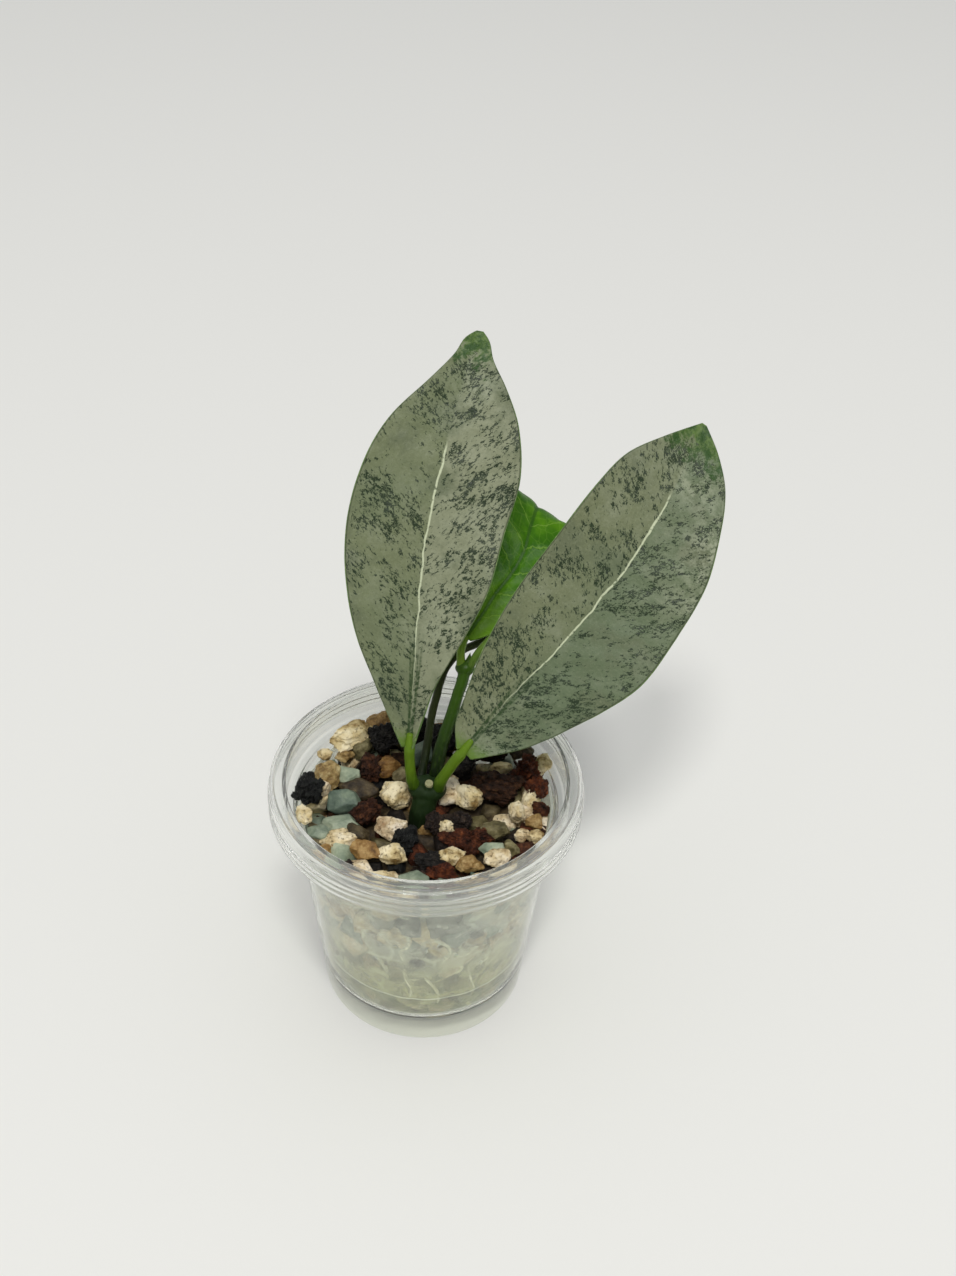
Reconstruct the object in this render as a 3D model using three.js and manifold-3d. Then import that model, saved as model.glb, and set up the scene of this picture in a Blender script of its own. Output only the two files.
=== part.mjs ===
// A young hoya, rooted in loose mineral stones in a clear plastic cup.
// Millimetres, +Z up. The cup's axis is upright, and the plant's two big leaves face -Y.
import * as THREE from "three";
import { mergeVertices } from "three/addons/utils/BufferGeometryUtils.js";
import Module from "manifold-3d";

const wasm = await Module();
wasm.setup();

// Driving dimensions
const CLEARANCE = 0.3;
const CUP_HEIGHT = 72;
const CUP_WALL = 0.9;
const CUP_SEGMENTS = 40;
const RIM_RADIUS = 40;
const FOOT_RADIUS = 27.2;
const WALL_TAPER = 0.0976;
const LEDGE_HEIGHT = 63.9;
const FLOOR_HEIGHT = 9.6;
const BED_HEIGHT = 60;
const CORE_ROUND = 28;
const CORE_ROWS = 10;
const CORE_RELIEF = 1.7;
const BED_RELIEF = 2.4;
const STONE_CROWDING = 1.16;
const ROOT_COUNT = 6;
const ROOT_RADIUS = 0.8;
const STEM_BASE_HEIGHT = 44;
const LEAF_THICKNESS = 1.3;
const MARGIN_THICKNESS = 0.8;

// Radius of the cup's outer wall at a height, below the ledge that a cup stacked inside would sit on.
const wallRadius = (z) => FOOT_RADIUS + 0.08 + WALL_TAPER * z;

// A seeded source of numbers from 0 to 1, so each build gives the same stones and roots.
function seeded(seed) {
  let state = seed;
  return () => {
    state = (state + 0x6d2b79f5) | 0;
    let mixed = Math.imul(state ^ (state >>> 15), 1 | state);
    mixed = (mixed + Math.imul(mixed ^ (mixed >>> 7), 61 | mixed)) ^ mixed;
    return ((mixed ^ (mixed >>> 14)) >>> 0) / 4294967296;
  };
}

// Closed geometry to a solid that can be joined and cut, and back.
function solidOf(geometry) {
  const bare = new THREE.BufferGeometry();
  bare.setAttribute("position", geometry.getAttribute("position"));
  if (geometry.index) bare.setIndex(geometry.index);
  const merged = mergeVertices(bare, 1e-4);
  return new wasm.Manifold(
    new wasm.Mesh({
      numProp: 3,
      vertProperties: merged.attributes.position.array,
      triVerts: new Uint32Array(merged.index.array),
    }),
  );
}

function geometryOf(solid) {
  const mesh = solid.getMesh();
  const geometry = new THREE.BufferGeometry();
  geometry.setAttribute("position", new THREE.BufferAttribute(mesh.vertProperties, 3));
  geometry.setIndex(new THREE.BufferAttribute(mesh.triVerts, 1));
  return geometry;
}

const join = (solids) => solids.reduce((sum, one) => sum.add(one));

// The largest body of a solid, without loose scraps or sealed bubbles.
function mainBody(solid) {
  const bodies = solid.decompose();
  return bodies.reduce((best, one) => (one.volume() > best.volume() ? one : best));
}

// A solid turned about +Z. The profile is [radius, height] pairs that run anticlockwise,
// from the axis back to the axis.
function turned(profile, segments = CUP_SEGMENTS) {
  const points = profile.map(([radius, height]) => new THREE.Vector2(radius, height));
  return new THREE.LatheGeometry(points, segments).rotateX(Math.PI / 2);
}

// A closed skin over rings of equal length, with a point at each end.
function skin(rings, start, end) {
  const count = rings[0].length;
  const points = [start, ...rings.flat(), end];
  const last = points.length - 1;
  const faces = [];
  for (let i = 0; i < count; i++) {
    const next = (i + 1) % count;
    faces.push(0, 1 + next, 1 + i);
    for (let ring = 0; ring < rings.length - 1; ring++) {
      const here = 1 + ring * count;
      const above = here + count;
      faces.push(here + i, here + next, above + next);
      faces.push(here + i, above + next, above + i);
    }
    const top = last - count;
    faces.push(last, top + i, top + next);
  }
  return new THREE.BufferGeometry().setFromPoints(points).setIndex(faces);
}

// A round stem along a curve through points, with a radius at each point and both ends domed.
function limb(points, radii, { sides = 8, steps = 8, grow = 0 } = {}) {
  const curve = new THREE.CatmullRomCurve3(points.map((p) => new THREE.Vector3(...p)));
  const frames = curve.computeFrenetFrames(steps);
  const rings = [];
  const addRing = (centre, step, radius) => {
    const ring = [];
    for (let i = 0; i < sides; i++) {
      const angle = (i / sides) * 2 * Math.PI;
      ring.push(
        centre
          .clone()
          .addScaledVector(frames.normals[step], radius * Math.cos(angle))
          .addScaledVector(frames.binormals[step], radius * Math.sin(angle)),
      );
    }
    rings.push(ring);
  };
  for (let step = 0; step <= steps; step++) {
    const place = curve.getUtoTmapping(step / steps) * (radii.length - 1);
    const index = Math.min(Math.floor(place), radii.length - 2);
    const radius = THREE.MathUtils.lerp(radii[index], radii[index + 1], place - index) + grow;
    addRing(curve.getPointAt(step / steps), step, radius);
  }
  const first = curve.getPointAt(0).addScaledVector(frames.tangents[0], -grow - radii[0] * 0.4);
  const final = curve
    .getPointAt(1)
    .addScaledVector(frames.tangents[steps], grow + radii[radii.length - 1] * 0.4);
  return solidOf(skin(rings, first, final));
}

// A swelling where leaves and shoots leave a stem.
function knot(centre, radii, grow = 0) {
  const ball = new THREE.IcosahedronGeometry(1, radii[0] > 4 ? 2 : 1);
  ball.scale(radii[0] + grow, radii[1] + grow, radii[2] + grow);
  return solidOf(ball.translate(...centre));
}

// A smooth value at t through [t, value] stations.
function smooth(stations, t) {
  const last = stations.length - 1;
  let i = stations.findIndex((station) => station[0] >= t);
  i = Math.min(Math.max(i, 1), last);
  const slope = (k) => {
    const [before, after] = [stations[Math.max(k - 1, 0)], stations[Math.min(k + 1, last)]];
    return (after[1] - before[1]) / (after[0] - before[0]);
  };
  const [t0, v0] = stations[i - 1];
  const [t1, v1] = stations[i];
  const span = t1 - t0;
  const s = THREE.MathUtils.clamp((t - t0) / span, 0, 1);
  const rise = v1 - v0;
  const bend = s * (1 - s) * ((slope(i - 1) * span - rise) * (1 - s) - (slope(i) * span - rise) * s);
  return v0 + rise * s + bend;
}

// A thick leaf blade. The spine runs from base to tip, across points to the leaf's left margin.
// Left, right and midrib are distances from the spine, and lift raises the blade off its plane.
// Both faces are split into the same triangles, so a waved blade never crosses itself.
function blade({ spine, across, left, right, midrib, lift, steps = 18, half = 4 }) {
  const side = new THREE.Vector3(...across).normalize();
  const columns = 2 * half + 1;
  const faces = [[], []];
  for (let row = 0; row <= steps; row++) {
    const even = row / steps;
    const t = THREE.MathUtils.lerp(even, (1 - Math.cos(Math.PI * even)) / 2, 0.65);
    const out = side.clone().cross(spine.getTangentAt(t)).normalize().negate();
    for (let column = 0; column < columns; column++) {
      const s = (half - column) / half;
      const middle = smooth(midrib, t);
      const margin = s > 0 ? smooth(left, t) : smooth(right, t);
      const centre = spine
        .getPointAt(t)
        .addScaledVector(side, middle + Math.abs(s) * (margin - middle))
        .addScaledVector(out, lift(t, s));
      const thick = THREE.MathUtils.lerp(LEAF_THICKNESS, MARGIN_THICKNESS, Math.abs(s)) / 2;
      faces[0].push(centre.clone().addScaledVector(out, thick));
      faces[1].push(centre.clone().addScaledVector(out, -thick));
    }
  }
  const points = [...faces[0], ...faces[1]];
  const under = faces[0].length;
  const index = [];
  for (let row = 0; row < steps; row++) {
    for (let column = 0; column < columns - 1; column++) {
      const a = row * columns + column;
      const [b, c, d] = [a + 1, a + columns, a + columns + 1];
      index.push(a, b, d, a, d, c);
      index.push(under + a, under + d, under + b, under + a, under + c, under + d);
    }
  }
  const rim = [];
  for (let column = 0; column < columns; column++) rim.push(column);
  for (let row = 1; row <= steps; row++) rim.push(row * columns + columns - 1);
  for (let column = columns - 2; column >= 0; column--) rim.push(steps * columns + column);
  for (let row = steps - 1; row >= 1; row--) rim.push(row * columns);
  rim.forEach((a, k) => {
    const b = rim[(k + 1) % rim.length];
    index.push(a, under + a, under + b, a, under + b, b);
  });
  return solidOf(new THREE.BufferGeometry().setFromPoints(points).setIndex(index));
}

// The cup: a tapered wall on a ring foot, a raised floor, a ledge, and a rim with an open skirt.
const ledgeOuter = wallRadius(LEDGE_HEIGHT - 1.9);
const rimWall = 35.2;
const rimOuterWall = rimWall + CUP_WALL;
const skirtInner = RIM_RADIUS - CUP_WALL;
const topRing = RIM_RADIUS - 1.6;
const cupProfile = [
  [0, FLOOR_HEIGHT - CUP_WALL],
  [25.9, FLOOR_HEIGHT - CUP_WALL],
  [26.1, FLOOR_HEIGHT - CUP_WALL - 0.3],
  [26.1, 0],
  [FOOT_RADIUS - 0.2, 0],
  [FOOT_RADIUS + 0.15, 0.5],
  [wallRadius(4), 4],
  [wallRadius(30), 30],
  [ledgeOuter, LEDGE_HEIGHT - 1.9],
  [ledgeOuter + 0.5, LEDGE_HEIGHT - 0.9],
  [rimOuterWall - 0.4, LEDGE_HEIGHT - 0.2],
  [rimOuterWall, LEDGE_HEIGHT + 0.4],
  [rimOuterWall, CUP_HEIGHT - CUP_WALL],
  [topRing - 0.4, CUP_HEIGHT - CUP_WALL],
  [skirtInner, CUP_HEIGHT - 2],
  [skirtInner, LEDGE_HEIGHT - 0.3],
  [RIM_RADIUS, LEDGE_HEIGHT - 0.3],
  [RIM_RADIUS, 70.4],
  [RIM_RADIUS - 0.8, 71],
  [topRing, 71.1],
  [topRing - 0.2, CUP_HEIGHT],
  [rimWall + 0.2, CUP_HEIGHT],
  [rimWall, CUP_HEIGHT - 0.3],
  [rimWall, LEDGE_HEIGHT + 0.9],
  [rimWall - 0.4, LEDGE_HEIGHT + 0.4],
  [ledgeOuter - CUP_WALL + 0.6, LEDGE_HEIGHT],
  [ledgeOuter - CUP_WALL, LEDGE_HEIGHT - 1.1],
  [wallRadius(FLOOR_HEIGHT + 1) - CUP_WALL, FLOOR_HEIGHT + 1],
  [wallRadius(FLOOR_HEIGHT) - CUP_WALL - 0.9, FLOOR_HEIGHT],
  [0, FLOOR_HEIGHT],
];
const cup = turned(cupProfile);

// The space inside the cup that the stones may fill, clear of the wall and the ledge.
const fillSpace = solidOf(
  turned([
    [0, FLOOR_HEIGHT + CLEARANCE],
    [wallRadius(FLOOR_HEIGHT) - CUP_WALL - 1.3, FLOOR_HEIGHT + CLEARANCE],
    [wallRadius(FLOOR_HEIGHT + 1) - CUP_WALL - CLEARANCE - 0.1, FLOOR_HEIGHT + 1.3],
    [ledgeOuter - CUP_WALL - CLEARANCE - 0.1, LEDGE_HEIGHT - 0.9],
    [ledgeOuter - CUP_WALL + 0.3, LEDGE_HEIGHT + 0.5],
    [rimWall - CLEARANCE - 0.5, LEDGE_HEIGHT + 1.1],
    [rimWall - CLEARANCE - 0.1, LEDGE_HEIGHT + 1.6],
    [rimWall - CLEARANCE - 0.1, CUP_HEIGHT],
    [0, CUP_HEIGHT],
  ]),
);

// The packed stones below the surface: a barrel with a rough, seeded side and top.
function packedCore() {
  const random = seeded(11);
  const bottom = FLOOR_HEIGHT + CLEARANCE + 0.1;
  const rings = [];
  for (let row = 0; row <= CORE_ROWS; row++) {
    const z = THREE.MathUtils.lerp(bottom, BED_HEIGHT, row / CORE_ROWS);
    const full = wallRadius(z) - CUP_WALL - CLEARANCE - 0.2;
    const ring = [];
    for (let i = 0; i < CORE_ROUND; i++) {
      const angle = ((i + (row % 2) / 2) / CORE_ROUND) * 2 * Math.PI;
      const edge = row === 0 ? 1.2 : 0;
      const radius = full - edge - CORE_RELIEF * random() ** 2;
      ring.push(new THREE.Vector3(radius * Math.cos(angle), radius * Math.sin(angle), z));
    }
    rings.push(ring);
  }
  for (const share of [0.84, 0.62, 0.4, 0.2]) {
    const drop = () => BED_HEIGHT + BED_RELIEF * (random() - 0.4);
    rings.push(rings[CORE_ROWS].map((p) => new THREE.Vector3(p.x * share, p.y * share, drop())));
  }
  return solidOf(skin(rings, new THREE.Vector3(0, 0, bottom), new THREE.Vector3(0, 0, BED_HEIGHT)));
}

// The plain form of a stone one unit across, with more corners on a bigger stone.
function plainStone(width) {
  const form = width > 9.3 ? new THREE.IcosahedronGeometry(0.5, 1) : new THREE.OctahedronGeometry(0.5, 1);
  return mergeVertices(form.deleteAttribute("normal").deleteAttribute("uv"), 1e-4);
}

// One rough stone, with its corners moved in or out by seeded draws.
function stone(random, [x, y, z, shownWidth, height, turn]) {
  const width = shownWidth * STONE_CROWDING;
  const rough = plainStone(width);
  const corner = new THREE.Vector3();
  const places = rough.attributes.position;
  for (let i = 0; i < places.count; i++) {
    corner.fromBufferAttribute(places, i).multiplyScalar(0.94 + 0.2 * random());
    places.setXYZ(i, corner.x, corner.y, corner.z);
  }
  rough.scale(width, 0.4 * width + 0.45 * height, height);
  rough.rotateX(0.5 * (random() - 0.5));
  rough.rotateZ(THREE.MathUtils.degToRad(turn));
  return solidOf(rough.translate(x, y, z));
}

// The stones that show on top, each [x, y, centre height, width, height, turn in degrees].
// Neighbours hide their edges, so each is crowded out a little wider than it shows.
const topStones = [
  [-20.8, 19.5, 65.2, 10.5, 6.5, 25],
  [-27.2, 12.6, 65, 3.6, 3.2, 0],
  [-7.8, 1.2, 62, 7.4, 7.6, 10],
  [-8.3, -9.7, 61.8, 7.6, 6, -20],
  [-20.6, -14.5, 61.6, 9, 5.5, 15],
  [-7.7, -18.1, 61.6, 7, 5, 0],
  [5.6, 3.6, 62, 7, 7, 40],
  [10.4, 2.3, 62, 7, 6.6, -30],
  [27, 4, 62, 7, 5, 60],
  [23.2, -2.3, 62, 4.6, 6, 80],
  [-30, -9.6, 65, 5, 4, -70],
  [18.4, -18, 61.5, 6.5, 4.2, 30],
  [6.8, -18, 61.6, 7, 4.2, 5],
  [-27, 2.6, 62.4, 4.4, 5.4, 20],
  [28, -10.3, 61.8, 4.2, 3.8, 0],
  [5.4, -8.2, 61.8, 3.8, 3.2, 0],
  [18.9, 13.1, 62.2, 5.4, 4.2, 0],
  [24.5, -10.2, 61.8, 3.6, 3.6, 30],
  [-25.8, 7.2, 63.4, 8.4, 7.6, 80],
  [-10.7, 11.7, 62.4, 6.8, 5.2, 20],
  [-14.2, -17.5, 61.6, 7.5, 4.8, -15],
  [-22.2, 14.7, 62.6, 4.6, 4, 0],
  [11.8, -20, 61.4, 6.4, 3.8, 0],
  [27.5, -5.6, 61.8, 4, 3.8, 0],
  [-30, 0.2, 65.2, 8.8, 8.6, 85],
  [-12.4, 20, 64.6, 8, 10, 30],
  [-4.4, -12.9, 61.8, 7.5, 7.4, 50],
  [3.1, 20.5, 64.6, 8, 9.6, 0],
  [-4.2, 25.4, 64.4, 9, 8, -10],
  [2.1, -7.1, 61.8, 5.6, 5.6, 70],
  [2, -19.9, 61.6, 7.4, 4.6, -10],
  [9.4, -6.6, 61.9, 5.6, 6.2, 80],
  [25, 10.6, 64, 8.6, 8.6, 40],
  [28.2, 5.4, 63.2, 7, 7.2, 70],
  [18, 5.3, 62.6, 12.4, 8.2, -10],
  [14, -10.8, 61.7, 6.6, 4.2, 0],
  [8.1, -12.2, 61.7, 8.4, 4.4, -10],
  [12.1, -15.3, 61.6, 4.4, 4.2, 70],
  [5, -22.6, 61.4, 7, 3.8, 0],
  [-14.8, 10.7, 62.6, 6.8, 7.2, 60],
  [15.9, 17.5, 63.4, 9, 6, 20],
  [-15.3, -4.6, 62, 7.7, 7.2, 60],
  [-21, 7.3, 62.4, 7.3, 5, -40],
  [-20.4, -1.3, 62, 8.2, 5.8, 0],
  [-20.9, -9.1, 61.8, 8.6, 3.8, -5],
  [-26.1, -12.5, 61.9, 5.2, 4.2, 0],
  [17.7, -8.9, 61.9, 6.8, 5.2, 15],
  [17.1, -15.4, 61.5, 6, 3.4, 0],
  [22, -14.6, 61.6, 4.8, 4, -30],
  [-1.8, 16.4, 63.2, 6.2, 7.4, 80],
  [-17.8, 3.1, 62.2, 9.4, 4.6, -5],
  [-17.5, 17, 63.4, 5.6, 6, 40],
  [-16.9, -12, 61.8, 6.8, 5, -40],
  [23.6, 18.6, 64.6, 7, 5, -30],
  [8.6, 12.4, 62.8, 6.8, 6, 10],
  [9.8, 27, 64.2, 8, 7, 15],
  [-6.2, 8.8, 62, 5.6, 4.6, 0],
  [-1.6, -25.6, 61.4, 6.6, 3.8, 0],
  [-24.5, -18.4, 61.4, 5.4, 3.8, 40],
  [-9.5, -26.2, 61.2, 6.8, 4, 10],
  [7, -28, 61.2, 6, 4, -10],
  [14.6, -25.6, 61.4, 6.4, 4.2, 30],
  [-17.4, -23.6, 61.2, 6.2, 4, -40],
  [22.6, -20.6, 61.2, 5.4, 4, 45],
  [29.4, -0.6, 61.6, 4.4, 4, 0],
  [-14.2, 27, 64.2, 7.4, 6, 20],
  [17.4, 25.6, 64.2, 7, 6, -30],
  [29.4, 12.8, 64.4, 6.4, 6, 60],
  [1.8, 11.2, 62, 5.4, 5, 30],
];

// The old stem: a short buried cutting, swollen at the top where everything grows from it.
const headCentre = [0.2, -0.1, 67];
const headRadii = [5, 4, 3.2];
const stemPath = [
  [-2.2, -2.6, STEM_BASE_HEIGHT],
  [-1.6, -3, 52],
  [-1, -2.8, 60],
  [0, -0.8, 66],
];
const stemRadii = [2.6, 3, 3.2, 3.4];
const stumpPath = [
  [0.2, -1.4, 67.5],
  [0.5, -1.9, 69.2],
  [0.7, -2.2, 70.4],
];
const stumpRadii = [1.3, 1.15, 1.15];
const oldStem = (grow) =>
  join([
    limb(stemPath, stemRadii, { sides: 10, steps: 6, grow }),
    knot(headCentre, headRadii, grow),
    limb(stumpPath, stumpRadii, { sides: 8, steps: 2, grow }),
  ]);

// The young right shoot, with the swelling and the bud that carries the newest leaves.
const shootKnotCentre = [8.5, 15.5, 94.1];
const shootKnotRadii = [2.5, 2, 1.9];
const rightShootPath = [
  [1.9, 1.7, 67.6],
  [3.3, 5, 76.6],
  [5.3, 8.5, 82.7],
  [6.6, 11.2, 87.1],
  [8, 13.8, 91.6],
  [8.5, 15.5, 94.1],
];
const rightShootRadii = [1.6, 1.75, 1.7, 1.6, 1.5, 1.6];
const budPath = [
  [9, 16, 94.8],
  [9.4, 16.6, 96.4],
  [9.7, 17.1, 98],
];
const rightShoot = (grow) =>
  join([
    limb(rightShootPath, rightShootRadii, { steps: 9, grow }),
    knot(shootKnotCentre, shootKnotRadii, grow),
    limb(budPath, [0.8, 0.6, 0.3], { sides: 6, steps: 3, grow }),
  ]);

// The thin left shoot, which passes behind the newest leaf's stalk.
const leftShootPath = [
  [-1.7, 2.1, 68],
  [-0.4, 6.6, 74.2],
  [0.4, 10.5, 80.7],
  [1.4, 13, 85.3],
  [3.4, 17, 91.9],
  [7, 20.5, 95.1],
  [12, 22.5, 97],
  [20.6, 26, 101.1],
];
const leftShoot = () =>
  limb(leftShootPath, [1.15, 1.1, 1.05, 1.05, 1.05, 1, 0.95, 0.6], { sides: 7, steps: 16 });

// The roots: a crown under the old stem and strands that wander out to the wall and down it.
const crownHeight = STEM_BASE_HEIGHT - 1.7;
function rootStrands(grow) {
  const random = seeded(5);
  const strands = [];
  const points = 8;
  for (let i = 0; i < ROOT_COUNT; i++) {
    const start = ((i + 0.35 * random()) / ROOT_COUNT) * 2 * Math.PI;
    const wander = (random() - 0.5) * 1.5;
    const drop = FLOOR_HEIGHT + 2.6 + 12 * random();
    const level = crownHeight - 4 + 8 * random();
    const path = [];
    for (let k = 0; k < points; k++) {
      const t = k / (points - 1);
      const out = THREE.MathUtils.smoothstep(t, 0, 0.45);
      const z = t < 0.45 ? crownHeight - 2 + (level - crownHeight) * out : 0;
      const down = THREE.MathUtils.clamp((t - 0.4) / 0.6, 0, 1);
      const height = t < 0.45 ? z : THREE.MathUtils.lerp(level - 2, drop, down);
      const wall = wallRadius(height) - CUP_WALL - 2 * CLEARANCE - ROOT_RADIUS - 0.3;
      const reach = THREE.MathUtils.lerp(0.8, wall, out);
      const angle = start + wander * t + 0.16 * Math.sin(7 * t + 2 * i);
      path.push([-2.2 * (1 - out) + reach * Math.cos(angle), -2.6 * (1 - out) + reach * Math.sin(angle), height]);
    }
    const radii = path.map((_, k) => THREE.MathUtils.lerp(ROOT_RADIUS * 1.25, ROOT_RADIUS * 0.7, k / (points - 1)));
    strands.push(limb(path, radii, { sides: 5, steps: 9, grow }));
  }
  return strands;
}
const rootCrown = (grow) => knot([-2.2, -2.6, crownHeight - 2.8], [3, 3, 2.9], grow);

// The left silver leaf, nearly upright and folded a little along its midrib.
const leftLeafBase = new THREE.Vector3(-4.4, -1.5, 82.3);
const leftLeafTip = new THREE.Vector3(9, 46.2, 172.1);
const leftLeafAcross = [-0.991, 0.062, 0.116];
const leftLeafMargin = [
  [0, 1.5],
  [0.05, 4.8],
  [0.12, 9.1],
  [0.25, 16.6],
  [0.42, 22.3],
  [0.54, 23.6],
  [0.68, 21.4],
  [0.78, 17.2],
  [0.88, 9.4],
  [0.94, 4.8],
  [1, 0.5],
];
const leftLeafRightMargin = [
  [0, -0.6],
  [0.08, -2],
  [0.16, -3.6],
  [0.3, -8.9],
  [0.42, -12.4],
  [0.55, -13.8],
  [0.68, -15.3],
  [0.8, -12.8],
  [0.88, -8.5],
  [0.94, -3.9],
  [1, -0.5],
];
const leftLeafMidrib = [
  [0, 0.1],
  [0.18, 1.6],
  [0.42, 4.1],
  [0.62, 4.1],
  [0.82, 2.6],
  [1, 0],
];

// The right silver leaf, which leans out over the cup's rim.
const rightLeafBase = new THREE.Vector3(8.9, -3, 82.8);
const rightLeafTip = new THREE.Vector3(62, 32.8, 156.9);
const rightLeafAcross = [-0.832, 0.362, 0.421];
const rightLeafMargin = [
  [0, 1.5],
  [0.05, 5.5],
  [0.12, 7.5],
  [0.25, 10.8],
  [0.42, 12.8],
  [0.6, 12.5],
  [0.75, 12],
  [0.84, 10.6],
  [0.92, 6.1],
  [1, 0.5],
];
const rightLeafLowMargin = [
  [0, -2.4],
  [0.05, -7],
  [0.12, -12.5],
  [0.25, -19],
  [0.4, -24.3],
  [0.52, -24.8],
  [0.68, -23.2],
  [0.8, -18.8],
  [0.9, -13.4],
  [0.96, -7],
  [1, -0.6],
];
const rightLeafMidrib = [
  [0, 0],
  [0.2, -1.5],
  [0.42, -4.1],
  [0.64, -5],
  [0.82, -3.5],
  [1, 0],
];

// How far each silver blade stands off its plane: a long arch, a shallow trough and waved margins.
const leafLift = (arch, trough, wave, waves, phase) => (t, s) => {
  const body = Math.sin(Math.PI * Math.min(t * 1.05, 1));
  const ripple = wave * Math.sin(waves * t + phase + (s > 0 ? 1.7 : 0)) * Math.abs(s) ** 3 * body;
  return arch * body + trough * Math.abs(s) ** 1.6 * (0.35 + 0.65 * body) + ripple - 2.2 * t ** 3;
};

// The stalk and the rib under a blade, from the knot it grows on to most of the way up the leaf.
function stalkAndRib(stalk, radii, rib, ribRadii) {
  return join([
    limb(stalk, radii, { steps: 4 }),
    limb(rib, ribRadii, { sides: 5, steps: 6 }),
  ]);
}

// Points under the midrib, for the rib to follow.
function ribUnder({ spine, across, midrib, lift }, places) {
  const side = new THREE.Vector3(...across).normalize();
  return places.map((t) => {
    const out = side.clone().cross(spine.getTangentAt(t)).normalize().negate();
    return spine
      .getPointAt(t)
      .addScaledVector(side, smooth(midrib, t))
      .addScaledVector(out, lift(t, 0) - LEAF_THICKNESS * 0.5)
      .toArray();
  });
}

const leftLeafShape = {
  spine: new THREE.LineCurve3(leftLeafBase, leftLeafTip),
  across: leftLeafAcross,
  left: leftLeafMargin,
  right: leftLeafRightMargin,
  midrib: leftLeafMidrib,
  lift: leafLift(2.4, 2.6, 1.1, 17, 0.6),
};
const rightLeafShape = {
  spine: new THREE.LineCurve3(rightLeafBase, rightLeafTip),
  across: rightLeafAcross,
  left: rightLeafMargin,
  right: rightLeafLowMargin,
  midrib: rightLeafMidrib,
  lift: leafLift(2, 2.4, 1.2, 15, 2.2),
};

// The newest leaf, bright green, which rises behind the silver ones and arches over backwards.
const newLeafShape = {
  spine: new THREE.CatmullRomCurve3(
    [
      [8.3, 20, 100.2],
      [12.2, 24.5, 104.1],
      [15.2, 28.6, 107.5],
      [19.1, 32.8, 111],
      [22.1, 37.4, 114.9],
      [23.3, 42.5, 117.9],
      [24.6, 48, 119.6],
      [25.2, 51.4, 118.9],
      [26, 55, 115.2],
      [26.8, 58.5, 109.5],
      [27.4, 61, 103],
    ].map((p) => new THREE.Vector3(...p)),
  ),
  across: [-0.82, 0.44, 0.37],
  left: [
    [0, 0.9],
    [0.1, 4.6],
    [0.3, 9.6],
    [0.5, 11.6],
    [0.7, 10],
    [0.88, 5],
    [1, 0.5],
  ],
  right: [
    [0, -1.6],
    [0.06, -4.2],
    [0.2, -8.8],
    [0.45, -12],
    [0.7, -10.4],
    [0.88, -5.2],
    [1, -0.5],
  ],
  midrib: [
    [0, 0],
    [1, 0],
  ],
  lift: (t, s) => 1.1 * Math.abs(s) ** 1.6 * Math.sin(Math.PI * t) + 0.35 * Math.sin(14 * t) * Math.abs(s) ** 3,
};

// Its partner on the other side of the same knot, smaller and hidden behind the right silver leaf.
const partnerLeafShape = {
  spine: new THREE.CatmullRomCurve3(
    [
      [18.2, 21, 104.6],
      [25.5, 25.5, 109],
      [33.5, 30.5, 113.5],
      [41, 36.5, 116.5],
      [46.5, 43, 117],
    ].map((p) => new THREE.Vector3(...p)),
  ),
  across: [-0.62, 0.36, 0.7],
  left: [
    [0, 0.8],
    [0.2, 4.2],
    [0.5, 6],
    [0.8, 4],
    [1, 0.5],
  ],
  right: [
    [0, -0.8],
    [0.2, -5],
    [0.5, -7.4],
    [0.8, -4.6],
    [1, -0.5],
  ],
  midrib: [
    [0, 0],
    [1, 0],
  ],
  lift: (t, s) => 0.8 * Math.abs(s) ** 1.6 * Math.sin(Math.PI * t),
};

// The grown pieces, each cut back from the knot that carries it.
const stemSeat = oldStem(CLEARANCE);
const shootSeat = rightShoot(CLEARANCE);
const leftLeaf = join([
  blade({ ...leftLeafShape, steps: 18, half: 3 }),
  stalkAndRib(
    [
      [-3.3, -1.2, 68],
      [-3.8, -1.5, 72],
      [-4.2, -1.5, 77.5],
      [-4.3, -1.6, 82.3],
      [-4.2, -0.4, 86],
    ],
    [1.55, 1.4, 1.35, 1.4, 1],
    ribUnder(leftLeafShape, [0.005, 0.1, 0.25, 0.45, 0.65, 0.82]),
    [1.3, 1.15, 0.95, 0.8, 0.6, 0.35],
  ),
]).subtract(stemSeat);
const rightLeaf = join([
  blade({ ...rightLeafShape, steps: 18, half: 3 }),
  stalkAndRib(
    [
      [3.3, -1.5, 68],
      [3.9, -1.8, 72],
      [6.2, -2.4, 77.5],
      [8.7, -3, 82.6],
      [11, -1.7, 86],
    ],
    [1.6, 1.5, 1.45, 1.45, 1],
    ribUnder(rightLeafShape, [0.005, 0.1, 0.25, 0.45, 0.65, 0.82]),
    [1.35, 1.2, 1, 0.8, 0.6, 0.35],
  ),
]).subtract(stemSeat);
const newLeaf = join([
  blade({ ...newLeafShape, steps: 13, half: 3 }),
  stalkAndRib(
    [
      [7.3, 15.6, 94],
      [7.3, 17.1, 97.1],
      [7.5, 18.5, 98.6],
      [8.6, 20.4, 100.4],
    ],
    [1.15, 1.1, 1.1, 0.9],
    ribUnder(newLeafShape, [0.005, 0.2, 0.4, 0.6, 0.8]),
    [1, 0.85, 0.7, 0.5, 0.3],
  ),
]).subtract(shootSeat);
const partnerLeaf = join([
  blade({ ...partnerLeafShape, steps: 8, half: 2 }),
  stalkAndRib(
    [
      [9.6, 15.2, 94.4],
      [11.6, 16.5, 98.3],
      [14.9, 18.8, 101.8],
      [18.6, 21.3, 104.9],
    ],
    [1.05, 1, 0.95, 0.8],
    ribUnder(partnerLeafShape, [0.005, 0.3, 0.6, 0.85]),
    [0.8, 0.65, 0.5, 0.3],
  ),
]).subtract(shootSeat);

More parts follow.
